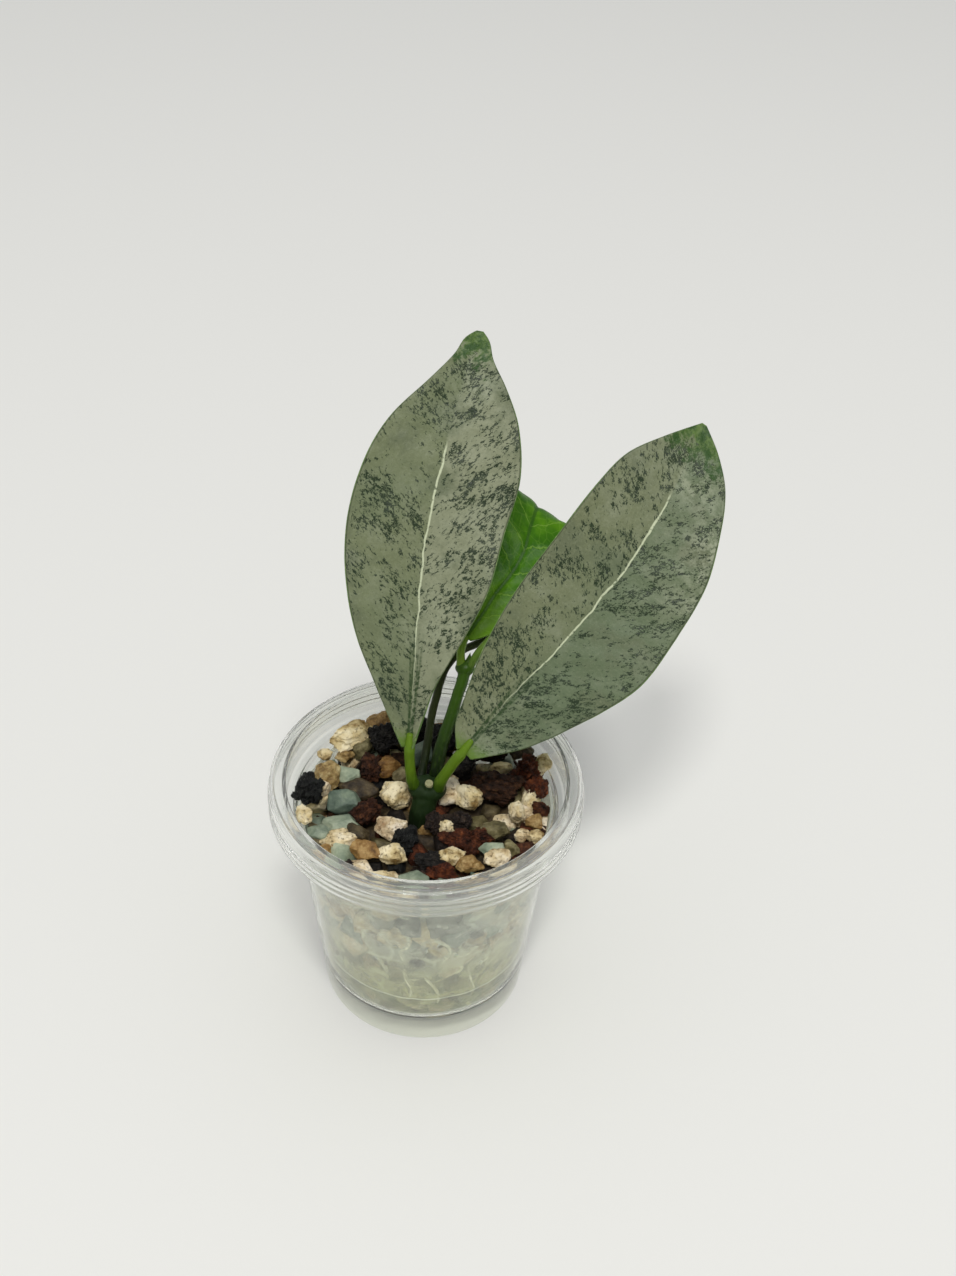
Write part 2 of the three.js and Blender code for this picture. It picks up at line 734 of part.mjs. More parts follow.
// The growing mix: packed core and stones in one body, with a plain hole for the stem and roots.
const stoneDraw = seeded(7);
const growingMix = mainBody(
  join([packedCore(), ...topStones.map((row) => stone(stoneDraw, row))])
    .intersect(fillSpace)
    .subtract(stemSeat)
    .subtract(join([rootCrown(CLEARANCE), ...rootStrands(CLEARANCE)])),
);
const roots = mainBody(join([rootCrown(0), ...rootStrands(0)]).subtract(stemSeat));

// Materials
const finish = (color, roughness, extra = {}) =>
  new THREE.MeshStandardMaterial({ color, roughness, metalness: 0, ...extra });
const clearPlastic = finish(0xdfe4df, 0.25, { transparent: true, opacity: 0.4 });
const stoneMix = finish(0x7a6657, 0.9);
const rootSkin = finish(0xd8cfae, 0.7);
const bark = finish(0x34402c, 0.6);
const silverLeaf = finish(0x869076, 0.5);
const shootSkin = finish(0x55663a, 0.5);
const darkShoot = finish(0x3a3a2a, 0.5);
const freshLeaf = finish(0x86a94b, 0.45);

const plant = new THREE.Group();
function place(name, geometry, material) {
  const mesh = new THREE.Mesh(geometry, material);
  mesh.name = name;
  plant.add(mesh);
}
place("cup", cup, clearPlastic);
place("growing_mix", geometryOf(growingMix), stoneMix);
place("roots", geometryOf(roots), rootSkin);
place("main_stem", geometryOf(oldStem(0)), bark);
place("leaf_left", geometryOf(leftLeaf), silverLeaf);
place("leaf_right", geometryOf(rightLeaf), silverLeaf);
place("shoot_right", geometryOf(rightShoot(0).subtract(stemSeat)), shootSkin);
place("shoot_left", geometryOf(leftShoot().subtract(stemSeat)), darkShoot);
place("leaf_new", geometryOf(newLeaf), freshLeaf);
place("leaf_partner", geometryOf(partnerLeaf), freshLeaf);

// The origin is the middle of the whole plant's underside, so the cup stands a little to one side.
const extent = new THREE.Box3().setFromObject(plant).getCenter(new THREE.Vector3());
plant.position.set(-extent.x, -extent.y, 0);

export default plant;
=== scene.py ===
"""A young hoya with two silver leaves, rooted in mineral stones in a clear plastic cup."""
import math
import random

import bpy
from mathutils import Matrix, Vector, noise


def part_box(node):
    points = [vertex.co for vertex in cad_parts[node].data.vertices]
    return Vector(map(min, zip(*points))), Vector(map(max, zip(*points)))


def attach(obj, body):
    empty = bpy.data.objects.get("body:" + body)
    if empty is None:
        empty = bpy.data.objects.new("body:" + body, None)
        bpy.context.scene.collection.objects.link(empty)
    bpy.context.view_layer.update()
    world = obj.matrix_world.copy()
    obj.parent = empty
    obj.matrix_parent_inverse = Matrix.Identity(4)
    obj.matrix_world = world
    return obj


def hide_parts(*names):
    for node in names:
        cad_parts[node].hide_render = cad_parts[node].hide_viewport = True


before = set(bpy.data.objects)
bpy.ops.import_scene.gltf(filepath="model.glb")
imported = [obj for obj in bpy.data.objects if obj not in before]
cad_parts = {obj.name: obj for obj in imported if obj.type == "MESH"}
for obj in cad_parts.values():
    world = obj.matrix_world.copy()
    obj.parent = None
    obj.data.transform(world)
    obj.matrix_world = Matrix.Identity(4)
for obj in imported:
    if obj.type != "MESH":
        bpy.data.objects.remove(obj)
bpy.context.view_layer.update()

# Places are given in millimetres from the point on the table under the cup's axis.
MM = 0.001
cup_low, cup_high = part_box("cup")
AXIS = Vector(((cup_low[0] + cup_high[0]) / 2, (cup_low[1] + cup_high[1]) / 2, 0))

CUP_HEIGHT = 72
CUP_WALL = 0.9
RIM_RADIUS = 40
FOOT_RADIUS = 27.2
WALL_TAPER = 0.0976
LEDGE_HEIGHT = 63.9
FLOOR_HEIGHT = 9.6
WATER_HEIGHT = 18
BED_HEIGHT = 60
LEAF_THICKNESS = 1.3


def at(x, y, z):
    """A point in metres from millimetres off the cup's axis."""
    return AXIS + Vector((x, y, z)) * MM


def wall_radius(z):
    """Outer radius of the cup's tapered wall at a height."""
    return FOOT_RADIUS + 0.08 + WALL_TAPER * z


# Camera, light and floor
def add_camera():
    """Looks down on the plant from the photograph's viewing angle."""
    data = bpy.data.cameras.new("camera")
    data.lens = 42.32
    data.sensor_width = 36
    data.clip_start = 0.01
    data.clip_end = 20
    camera = bpy.data.objects.new("camera", data)
    bpy.context.scene.collection.objects.link(camera)
    forward = Vector((0, 0.77592, -0.63083))
    right = Vector((0.99909, 0.02686, 0.03304))
    up = right.cross(forward)
    turn = Matrix((right, up, -forward)).transposed().to_4x4()
    camera.matrix_world = Matrix.Translation(at(11.42, -270.73, 336.68)) @ turn
    bpy.context.scene.camera = camera


def add_stage():
    """A pale floor sheet, a pale room all round it and two soft lamps high up in front."""
    deselect()
    bpy.ops.mesh.primitive_plane_add(size=6, location=(0, 0, 0))
    floor = bpy.context.object
    floor.name = "floor"
    made, _, shader = new_material("floor_paper")
    shader.inputs["Base Color"].default_value = srgb(236, 236, 232)
    shader.inputs["Roughness"].default_value = 0.9
    shader.inputs["Specular IOR Level"].default_value = 0.1
    floor.data.materials.append(made)

    world = bpy.data.worlds.new("studio")
    bpy.context.scene.world = world
    world.use_nodes = True
    light_room(world.node_tree)
    add_softbox("left_softbox", at(-270, -1600, 2700), 0.5, 32, (1, 0.985, 0.96))
    add_softbox("right_softbox", at(400, -1150, 2700), 0.5, 25, (1, 0.99, 0.97))
    bpy.context.scene.view_settings.view_transform = "Standard"


def light_room(tree):
    """A pale room: brightest overhead, dimmer low down in front, as clear plastic shows it."""
    way = add_node(tree, "ShaderNodeTexCoord").outputs["Generated"]
    parts = add_node(tree, "ShaderNodeSeparateXYZ", Vector=way).outputs
    front = step_between(tree, calc(tree, "MULTIPLY", parts[1], -1.0), 0.0, 0.75)
    low = turned_off(tree, step_between(tree, parts[2], 0.25, 0.85))
    dim = calc(tree, "MULTIPLY", front, low)
    shade = mix_colours(tree, dim, (0.97, 0.98, 1.0, 1), (0.5, 0.5, 0.51, 1))
    sky = tree.nodes["Background"]
    tree.links.new(shade, sky.inputs["Color"])
    sky.inputs["Strength"].default_value = 0.48


def add_softbox(name, place, size, power, colour):
    """A round lamp, size in metres and power in watts, turned towards the middle of the plant."""
    data = bpy.data.lights.new(name, "AREA")
    data.shape = "DISK"
    data.size = size
    data.energy = power
    data.color = colour
    lamp = bpy.data.objects.new(name, data)
    bpy.context.scene.collection.objects.link(lamp)
    lamp.location = place
    plant_middle = at(10, 0, 60)
    lamp.rotation_euler = (plant_middle - place).to_track_quat("-Z", "Y").to_euler()


# Small helpers for pieces
def deselect():
    bpy.ops.object.select_all(action="DESELECT")


def only(piece):
    """Selects one piece alone and makes it the active one."""
    deselect()
    piece.select_set(True)
    bpy.context.view_layer.objects.active = piece


def settle(piece, name, node, slot, *materials, smooth_angle=None):
    """Gives a finished mesh its name, finish and place in the frame."""
    only(piece)
    bpy.ops.object.transform_apply(location=True, rotation=True, scale=True)
    if smooth_angle is None:
        bpy.ops.object.shade_smooth()
    else:
        bpy.ops.object.shade_smooth_by_angle(angle=math.radians(smooth_angle))
    piece.name = name
    piece.data.name = name
    for made in materials:
        piece.data.materials.append(made)
    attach(piece, "root")
    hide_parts(node)
    return piece


def apply_modifier(piece, kind, **settings):
    """Adds a modifier with its settings and applies it."""
    only(piece)
    modifier = piece.modifiers.new(kind.lower(), kind)
    for key, value in settings.items():
        setattr(modifier, key, value)
    bpy.ops.object.modifier_apply(modifier=modifier.name)


def join_pieces(pieces):
    """Joins meshes into the first one."""
    only(pieces[0])
    for piece in pieces:
        piece.select_set(True)
    bpy.ops.object.join()
    return bpy.context.object


# Small helpers for materials
def srgb(red, green, blue):
    """A colour as seen, 0 to 255, to the shader's linear one."""
    parts = []
    for value in (red, green, blue):
        share = value / 255
        parts.append(share / 12.92 if share < 0.04045 else ((share + 0.055) / 1.055) ** 2.4)
    return (*parts, 1)


def new_material(name):
    """A new material, its node tree and its main shader."""
    made = bpy.data.materials.new(name)
    made.use_nodes = True
    return made, made.node_tree, made.node_tree.nodes["Principled BSDF"]


def feed(tree, socket, value):
    """Links another node's output to a socket, or sets a plain value on it."""
    if isinstance(value, bpy.types.NodeSocket):
        tree.links.new(value, socket)
    else:
        socket.default_value = value


def add_node(tree, kind, settings=None, **inputs):
    """A node with its settings, and its inputs fed by name."""
    made = tree.nodes.new(kind)
    for key, value in (settings or {}).items():
        setattr(made, key, value)
    for key, value in inputs.items():
        feed(tree, made.inputs[key.replace("_", " ")], value)
    return made


def calc(tree, operation, first, second=0.0, third=0.0, clamp=False):
    """The result of one step of arithmetic."""
    made = tree.nodes.new("ShaderNodeMath")
    made.operation = operation
    made.use_clamp = clamp
    for socket, value in zip(made.inputs, (first, second, third)):
        feed(tree, socket, value)
    return made.outputs[0]


def step_between(tree, value, low, high):
    """0 below low and 1 above high, smoothly."""
    made = add_node(tree, "ShaderNodeMapRange", {"interpolation_type": "SMOOTHSTEP"}, Value=value)
    made.inputs["From Min"].default_value = low
    made.inputs["From Max"].default_value = high
    return made.outputs[0]


def turned_off(tree, value):
    """1 where a share is 0, and 0 where it is 1."""
    return calc(tree, "SUBTRACT", 1.0, value)


def mix_colours(tree, share, first, second):
    """The first colour, giving way to the second as the share goes from 0 to 1."""
    made = tree.nodes.new("ShaderNodeMix")
    made.data_type = "RGBA"
    feed(tree, made.inputs[0], share)
    feed(tree, made.inputs[6], first)
    feed(tree, made.inputs[7], second)
    return made.outputs[2]


def colour_ramp(tree, value, stops):
    """A colour read off a value through (place, colour) stops."""
    made = add_node(tree, "ShaderNodeValToRGB", Fac=value)
    points = made.color_ramp.elements
    while len(points) < len(stops):
        points.new(0.5)
    for point, (place, colour) in zip(points, stops):
        point.position = place
        point.color = colour
    return made.outputs[0]


def grain(tree, place, scale, detail=3.0, roughness=0.6, distortion=0.0):
    """Cloudy noise about 0.5, with so many clouds to a unit of place."""
    made = add_node(tree, "ShaderNodeTexNoise", Vector=place, Scale=scale, Detail=detail)
    made.inputs["Roughness"].default_value = roughness
    made.inputs["Distortion"].default_value = distortion
    return made.outputs[0]


def bent_place(tree, place, clouds, scale, amount):
    """A place pushed about by coloured noise that is read at the clouds' own place."""
    push = add_node(tree, "ShaderNodeTexNoise", Vector=clouds, Scale=scale, Detail=3.0).outputs["Color"]
    bent = add_node(tree, "ShaderNodeVectorMath", {"operation": "MULTIPLY_ADD"})
    tree.links.new(push, bent.inputs[0])
    bent.inputs[1].default_value = amount
    tree.links.new(place, bent.inputs[2])
    return bent.outputs[0]


def net_distance(tree, place, scale):
    """How far a place is from the threads of a net."""
    cells = add_node(tree, "ShaderNodeTexVoronoi", {"feature": "DISTANCE_TO_EDGE"}, Vector=place, Scale=scale)
    return cells.outputs["Distance"]


def object_place(tree):
    return add_node(tree, "ShaderNodeTexCoord").outputs["Object"]


def raise_surface(tree, shader, height, strength, distance):
    """Gives a shader fine relief from a height, over a distance in metres."""
    made = add_node(tree, "ShaderNodeBump", Height=height, Strength=strength, Distance=distance)
    tree.links.new(made.outputs[0], shader.inputs["Normal"])


# Curves and outlines
def smooth(stations, t):
    """A smooth value at t through (t, value) stations."""
    last = len(stations) - 1
    i = next((k for k in range(1, last + 1) if stations[k][0] >= t), last)

    def slope(k):
        before, after = stations[max(k - 1, 0)], stations[min(k + 1, last)]
        return (after[1] - before[1]) / (after[0] - before[0])

    (t0, v0), (t1, v1) = stations[i - 1], stations[i]
    span = t1 - t0
    s = min(max((t - t0) / span, 0), 1)
    rise = v1 - v0
    bend = s * (1 - s) * ((slope(i - 1) * span - rise) * (1 - s) - (slope(i) * span - rise) * s)
    return v0 + rise * s + bend


def spine_through(points):
    """A smooth curve through points, as a function from 0 to 1 that gives a point and a direction."""
    corners = [Vector(p) for p in points]
    samples = []
    per_span = 12
    for i in range(len(corners) - 1):
        p0 = corners[max(i - 1, 0)]
        p1, p2 = corners[i], corners[i + 1]
        p3 = corners[min(i + 2, len(corners) - 1)]
        for k in range(per_span):
            u = k / per_span
            samples.append(
                0.5
                * (
                    2 * p1
                    + (p2 - p0) * u
                    + (2 * p0 - 5 * p1 + 4 * p2 - p3) * u * u
                    + (3 * p1 - p0 - 3 * p2 + p3) * u ** 3
                )
            )
    samples.append(corners[-1])
    lengths = [0.0]
    for a, b in zip(samples, samples[1:]):
        lengths.append(lengths[-1] + (b - a).length)

    def place(t):
        goal = t * lengths[-1]
        i = next((k for k in range(1, len(lengths)) if lengths[k] >= goal), len(lengths) - 1)
        share = (goal - lengths[i - 1]) / max(lengths[i] - lengths[i - 1], 1e-9)
        ahead, behind = min(i + 2, len(samples) - 1), max(i - 3, 0)
        direction = (samples[ahead] - samples[behind]).normalized()
        return samples[i - 1].lerp(samples[i], min(max(share, 0), 1)), direction

    place.length = lengths[-1]
    return place


def draws(seed):
    """The same seeded numbers, from 0 to 1, as the solids are drawn with."""
    state = seed

    def whole(value):
        return value & 0xFFFFFFFF

    def draw():
        nonlocal state
        state = whole(state + 0x6D2B79F5)
        mixed = whole((state ^ (state >> 15)) * (1 | state))
        mixed = whole(mixed + whole((mixed ^ (mixed >> 7)) * (61 | mixed))) ^ mixed
        return whole(mixed ^ (mixed >> 14)) / 4294967296

    return draw


# Leaves
# How strongly a patch of flecks counts, and from where flecks show.
FLECK_PATCH = 0.055
FLECK_START = 0.82

# The margins and the midrib are given as the share along the spine and the mm off it. The marks are
# patches: the share along the leaf, the share from the midrib to a margin, the size in mm and the
# strength.
LEFT_LEAF = {
    "spine": [(-4.4, -1.5, 82.3), (8.9, 45.9, 171.6)],
    "across": (-0.991, 0.062, 0.116),
    "left": [
        (0, 1.5), (0.05, 4.8), (0.12, 9.1), (0.25, 16.6), (0.42, 22.3), (0.54, 23.6),
        (0.68, 21.4), (0.78, 17.2), (0.88, 9.4), (0.94, 5), (0.98, 3.2), (1, 0.8),
    ],
    "right": [
        (0, -0.6), (0.08, -2), (0.16, -3.6), (0.3, -8.9), (0.42, -12.4), (0.55, -13.8),
        (0.68, -15.3), (0.8, -12.8), (0.88, -8.5), (0.94, -4.2), (0.98, -2.6), (1, -0.7),
    ],
    "midrib": [(0, 0.1), (0.18, 1.6), (0.42, 4.1), (0.62, 4.1), (0.82, 2.6), (1, 0)],
    "flecks": [
        (0.97, -0.1, 5, 0.7), (0.91, -0.1, 4, 1.2), (0.88, -0.6, 5, 0.9), (0.81, -0.4, 5, 0.7),
        (0.77, 0, 3, 1.2), (0.71, -0.15, 2.5, 1.4), (0.77, -0.85, 6, 0.9), (0.7, -0.6, 7, 0.9),
        (0.65, -0.9, 6, 0.9), (0.61, -0.45, 7, 0.8), (0.56, -0.75, 8, 0.8), (0.5, -0.9, 6, 1.1),
        (0.49, -0.1, 4, 0.7), (0.84, 0.85, 5, 0.7), (0.81, 0.3, 5, 0.6), (0.66, 0.62, 5, 0.8),
        (0.59, 0.75, 6, 1.5), (0.59, 0.14, 3, 1.4), (0.52, 0.4, 6, 0.9), (0.5, 0.85, 5, 0.9),
        (0.42, 0.78, 3, 0.9), (0.38, 0.25, 3, 1.6), (0.37, 0.9, 5, 0.8), (0.39, -0.8, 4, 1),
        (0.4, -0.3, 4, 0.8), (0.47, -0.75, 5, 0.8), (0.29, -0.6, 6, 0.7), (0.25, 0.2, 4, 0.8),
        (0.2, 0.7, 6, 0.9), (0.15, 0.3, 5, 0.9), (0.06, 0, 4, 1.1), (0.7, 0.36, 8, -1.1),
        (0.55, 0.66, 2, -0.6), (0.29, 0.75, 4, -0.4), (0.28, 0.5, 3, 0.8), (0.33, 0.35, 3, 0.5),
    ],
    "green": [
        (0.59, 0.74, 7, 0.8), (0.3, 0.4, 10, 0.6), (0.9, -0.2, 5, 0.9), (0.8, 0.3, 6, 0.4),
        (0.15, 0.5, 9, 0.5), (0.62, 0.2, 6, 0.4), (0.45, -0.95, 4, 0.5),
    ],
    "pale": [(0.87, -0.3, 5, 0.9), (0.48, -0.7, 9, 0.4), (0.32, -0.4, 9, 0.6), (0.78, -0.4, 6, 0.3)],
}
RIGHT_LEAF = {
    "spine": [(8.9, -3, 82.8), (62, 32.8, 156.9)],
    "across": (-0.832, 0.362, 0.421),
    "left": [
        (0, 1.5), (0.05, 5.5), (0.12, 7.5), (0.25, 10.8), (0.42, 12.8), (0.6, 12.5),
        (0.75, 12), (0.84, 10.6), (0.92, 6.1), (1, 0.5),
    ],
    "right": [
        (0, -2.4), (0.05, -7), (0.12, -12.5), (0.25, -19), (0.4, -24.3), (0.52, -24.8),
        (0.68, -23.2), (0.8, -18.8), (0.9, -13.4), (0.96, -7), (1, -0.6),
    ],
    "midrib": [(0, 0), (0.2, -1.5), (0.42, -4.1), (0.64, -5), (0.82, -3.5), (1, 0)],
    "flecks": [
        (0.96, 0, 5, 0.9), (0.93, 0.35, 4, 1.1), (0.89, 0.14, 4, 1.5), (0.94, -0.7, 5, 1.4),
        (0.87, 0.62, 4, 0.9), (0.83, 0.9, 4, 1), (0.78, 0.84, 4, 1.1), (0.76, 0.5, 3, 1),
        (0.67, 0.37, 3, 1.3), (0.6, 0.24, 4, 1.2), (0.55, 0.31, 4, 1.2), (0.49, 0.68, 6, 1.1),
        (0.65, 0.85, 5, 0.6), (0.76, -0.11, 3, 1.2), (0.66, -0.1, 3, 1.2), (0.56, -0.2, 4, 1.3),
        (0.79, -0.75, 6, 1), (0.7, -0.54, 5, 0.8), (0.63, -0.3, 5, 0.8), (0.88, -0.45, 4, 0.7),
        (0.54, -0.51, 5, 1), (0.62, -0.75, 5, 1), (0.52, -0.88, 5, 0.9), (0.48, -0.93, 4, 0.9),
        (0.45, -0.71, 3, 1), (0.39, -0.94, 4, 0.9), (0.33, -0.87, 4, 1.2), (0.25, -0.85, 6, 0.8),
        (0.2, -0.8, 6, 1.1), (0.15, -0.5, 6, 1.1), (0.31, -0.28, 4, 1.5), (0.25, -0.25, 4, 1.4),
        (0.22, 0, 3, 1.5), (0.41, 0.4, 4, 0.8), (0.34, 0.5, 6, 0.9), (0.28, 0.7, 6, 1),
        (0.2, 0.5, 6, 1.2), (0.12, 0.2, 5, 1.3), (0.08, -0.3, 5, 0.8), (0.39, -0.45, 6, -0.8),
        (0.44, 0.3, 6, -0.8), (0.72, -0.19, 4, -1), (0.7, 0.5, 5, -0.6), (0.87, -0.12, 3, -0.9),
    ],
    "green": [
        (0.4, -0.4, 14, 0.7), (0.55, -0.35, 10, 0.6), (0.2, -0.7, 9, 0.8), (0.72, -0.3, 8, 0.4),
        (0.9, 0.2, 5, 0.7), (0.95, -0.6, 6, 0.7), (0.6, 0.2, 6, 0.5), (0.3, -0.2, 6, 0.6),
    ],
    "pale": [
        (0.87, -0.15, 4, 0.9), (0.72, -0.9, 7, 0.9), (0.8, -0.95, 6, 0.9), (0.88, -0.55, 5, 0.6),
        (0.63, -0.95, 5, 0.6), (0.05, -0.6, 6, 0.5), (0.84, 0.6, 5, 0.3),
    ],
}
NEW_LEAF = {
    "spine": [
        (8.3, 20, 100.2), (12.2, 24.5, 104.1), (15.2, 28.6, 107.5), (19.1, 32.8, 111),
        (22.1, 37.4, 114.9), (23.3, 42.5, 117.9), (24.6, 48, 119.6), (25.2, 51.4, 118.9),
        (26, 55, 115.2), (26.8, 58.4, 109.5), (27.3, 60.7, 103.4),
    ],
    "across": (-0.82, 0.44, 0.37),
    "left": [(0, 0.9), (0.1, 4.6), (0.3, 9.6), (0.5, 11.6), (0.7, 10), (0.88, 5), (1, 0.5)],
    "right": [
        (0, -1.6), (0.06, -4.2), (0.2, -8.8), (0.45, -12), (0.7, -10.4), (0.88, -5.2), (1, -0.5),
    ],
    "midrib": [(0, 0), (1, 0)],
}
PARTNER_LEAF = {
    "spine": [(18.2, 21, 104.6), (25.5, 25.5, 109), (33.5, 30.5, 113.5), (41, 36.5, 116.5), (46.5, 43, 117)],
    "across": (-0.62, 0.36, 0.7),
    "left": [(0, 0.8), (0.2, 4.2), (0.5, 6), (0.8, 4), (1, 0.5)],
    "right": [(0, -0.8), (0.2, -5), (0.5, -7.4), (0.8, -4.6), (1, -0.5)],
    "midrib": [(0, 0), (1, 0)],
}


def silver_lift(arch, trough, wave, waves, phase):
    """How far a silver blade stands off its plane: an arch, a shallow trough and waved margins."""

    def lift(t, s):
        body = math.sin(math.pi * min(t * 1.05, 1))
        ripple = wave * math.sin(waves * t + phase + (1.7 if s > 0 else 0)) * abs(s) ** 3 * body
        bowl = trough * abs(s) ** 1.6 * (0.35 + 0.65 * body) * (1 - t ** 12)
        return arch * body + bowl + ripple - 2.2 * t ** 3

    return lift


def new_leaf_lift(t, s):
    """The young blade is a trough with waved margins."""
    edge = abs(s)
    return 1.1 * edge ** 1.6 * math.sin(math.pi * t) + 0.35 * math.sin(14 * t) * edge ** 3


def partner_lift(t, s):
    """The hidden blade is a plain shallow trough."""
    return 0.8 * abs(s) ** 1.6 * math.sin(math.pi * t)


def leaf_point(shape, spine, lift, t, s):
    """The middle of the blade's thickness at t along it and s across it, and the way it faces."""
    side = Vector(shape["across"]).normalized()
    centre, tangent = spine(t)
    out = -side.cross(tangent).normalized()
    middle = smooth(shape["midrib"], t)
    margin = smooth(shape["left" if s > 0 else "right"], t)
    reach = abs(s) * (margin - middle)
    return centre + side * (middle + reach) + out * lift(t, s), out, reach


def patch_sum(shape, spine, patches, t, s):
    """How much of a marking gathers at a point, from patches given by place, size in mm and strength."""
    middle = smooth(shape["midrib"], t)
    total = 0.0
    for along, across, size, strength in patches:
        margin = smooth(shape["left" if across > 0 else "right"], along)
        centre = smooth(shape["midrib"], along)
        centre_reach = abs(across) * (margin - centre)
        own_margin = smooth(shape["left" if s > 0 else "right"], t)
        reach = abs(s) * (own_margin - middle)
        far = math.hypot((t - along) * spine.length, reach - centre_reach)
        total += strength * math.exp(-((far / size) ** 2))
    return total


def lay_out_blade(mesh, shape, spine, lift):
    """Bends a flat grid into the blade; returns each point's place on it and the way it faces."""
    places, outs = [], []
    for vertex in mesh.vertices:
        s = -vertex.co.x
        even = (vertex.co.y + 1) / 2
        t = even * 0.6 + 0.4 * (1 - math.cos(math.pi * even)) / 2
        point, out, reach = leaf_point(shape, spine, lift, t, s)
        vertex.co = at(*(point + out * LEAF_THICKNESS * 0.5))
        places.append((reach, t * spine.length, s))
        outs.append(out)
    return places, outs


def keep_places(mesh, shape, spine, places):
    """Stores each point's distances from and along the midrib and its share of each marking."""
    kept = mesh.attributes.new("leaf", "FLOAT_VECTOR", "POINT")
    marks = mesh.attributes.new("marks", "FLOAT_VECTOR", "POINT")
    for i, (reach, along, s) in enumerate(places):
        kept.data[i].vector = (reach, along, s)
        marks.data[i].vector = [
            patch_sum(shape, spine, shape.get(mark, []), along / spine.length, s)
            for mark in ("flecks", "green", "pale")
        ]


def thicken_blade(leaf, places):
    """Gives a blade its thickness, thinner towards the margins, with the back's own material."""
    thickness = leaf.vertex_groups.new(name="thickness")
    for i, (_, _, s) in enumerate(places):
        thickness.add([i], 1 - 0.45 * abs(s) ** 2, "REPLACE")
    apply_modifier(
        leaf,
        "SOLIDIFY",
        thickness=LEAF_THICKNESS * MM,
        offset=-1,
        vertex_group="thickness",
        material_offset=1,
        material_offset_rim=1,
    )
    apply_modifier(leaf, "SUBSURF", levels=1, render_levels=1)


def press_relief(mesh, shape, spine, relief):
    """Moves the skin in and out, both faces together, by the relief in mm."""
    side = Vector(shape["across"]).normalized()
    kept = mesh.attributes["leaf"]
    for i, vertex in enumerate(mesh.vertices):
        reach, along, s = kept.data[i].vector
        _, tangent = spine(along / spine.length)
        out = -side.cross(tangent).normalized()
        vertex.co += out * relief(reach, along, s) * MM


def grow_blade(shape, lift, cells, rows, relief, front, back):
    """A leaf blade from a grid, with its distances from the midrib kept for the materials."""
    spine = spine_through(shape["spine"])
    deselect()
    bpy.ops.mesh.primitive_grid_add(x_subdivisions=cells, y_subdivisions=rows, size=2)
    leaf = bpy.context.object
    mesh = leaf.data
    places, outs = lay_out_blade(mesh, shape, spine, lift)
    keep_places(mesh, shape, spine, places)
    faces_out = sum(polygon.normal.dot(outs[polygon.vertices[0]]) for polygon in mesh.polygons)
    if faces_out < 0:
        mesh.flip_normals()
    mesh.materials.append(front)
    mesh.materials.append(back)
    thicken_blade(leaf, places)
    press_relief(mesh, shape, spine, relief)
    return leaf


def silver_relief(seed):
    """Low relief of a silver blade: the sunk midrib, soft swells between side veins, and puckers."""

    def relief(reach, along, s):
        groove = -0.3 * math.exp(-((reach / 0.9) ** 2)) + 0.14 * math.exp(-((reach / 0.35) ** 2))
        vein = 0.11 * math.cos(2 * math.pi * (along - 0.55 * abs(reach)) / 8.5) * min(abs(reach) / 4, 1)
        pucker = 0.48 * noise.noise(Vector((reach / 7, along / 9, seed)))
        fine = 0.14 * noise.noise(Vector((reach / 2.2, along / 2.6, seed + 5)))
        edge = 0.28 * noise.noise(Vector((along / 3.2, s * 2, seed + 9))) * abs(s) ** 6
        return groove + vein + pucker + fine + edge

    return relief


def fresh_relief(reach, along, _):
    """Low relief of a young blade: the sunk midrib and soft swells between side veins."""
    groove = -0.34 * math.exp(-((reach / 0.8) ** 2))
    wave = 0.16 * math.cos(2 * math.pi * (along - 0.7 * abs(reach)) / 7) * min(abs(reach) / 3, 1)
    return groove + wave + 0.22 * noise.noise(Vector((reach / 5, along / 6, 3)))


def leaf_places(tree):
    """Sockets for the distance from the midrib and along it in mm, and from margin to margin."""
    kept = add_node(tree, "ShaderNodeAttribute", {"attribute_name": "leaf"})
    return add_node(tree, "ShaderNodeSeparateXYZ", Vector=kept.outputs["Vector"]).outputs


def leaf_marks(tree):
    """Sockets for how much fleck, green and pale bloom gathers here."""
    kept = add_node(tree, "ShaderNodeAttribute", {"attribute_name": "marks"})
    return add_node(tree, "ShaderNodeSeparateXYZ", Vector=kept.outputs["Vector"]).outputs


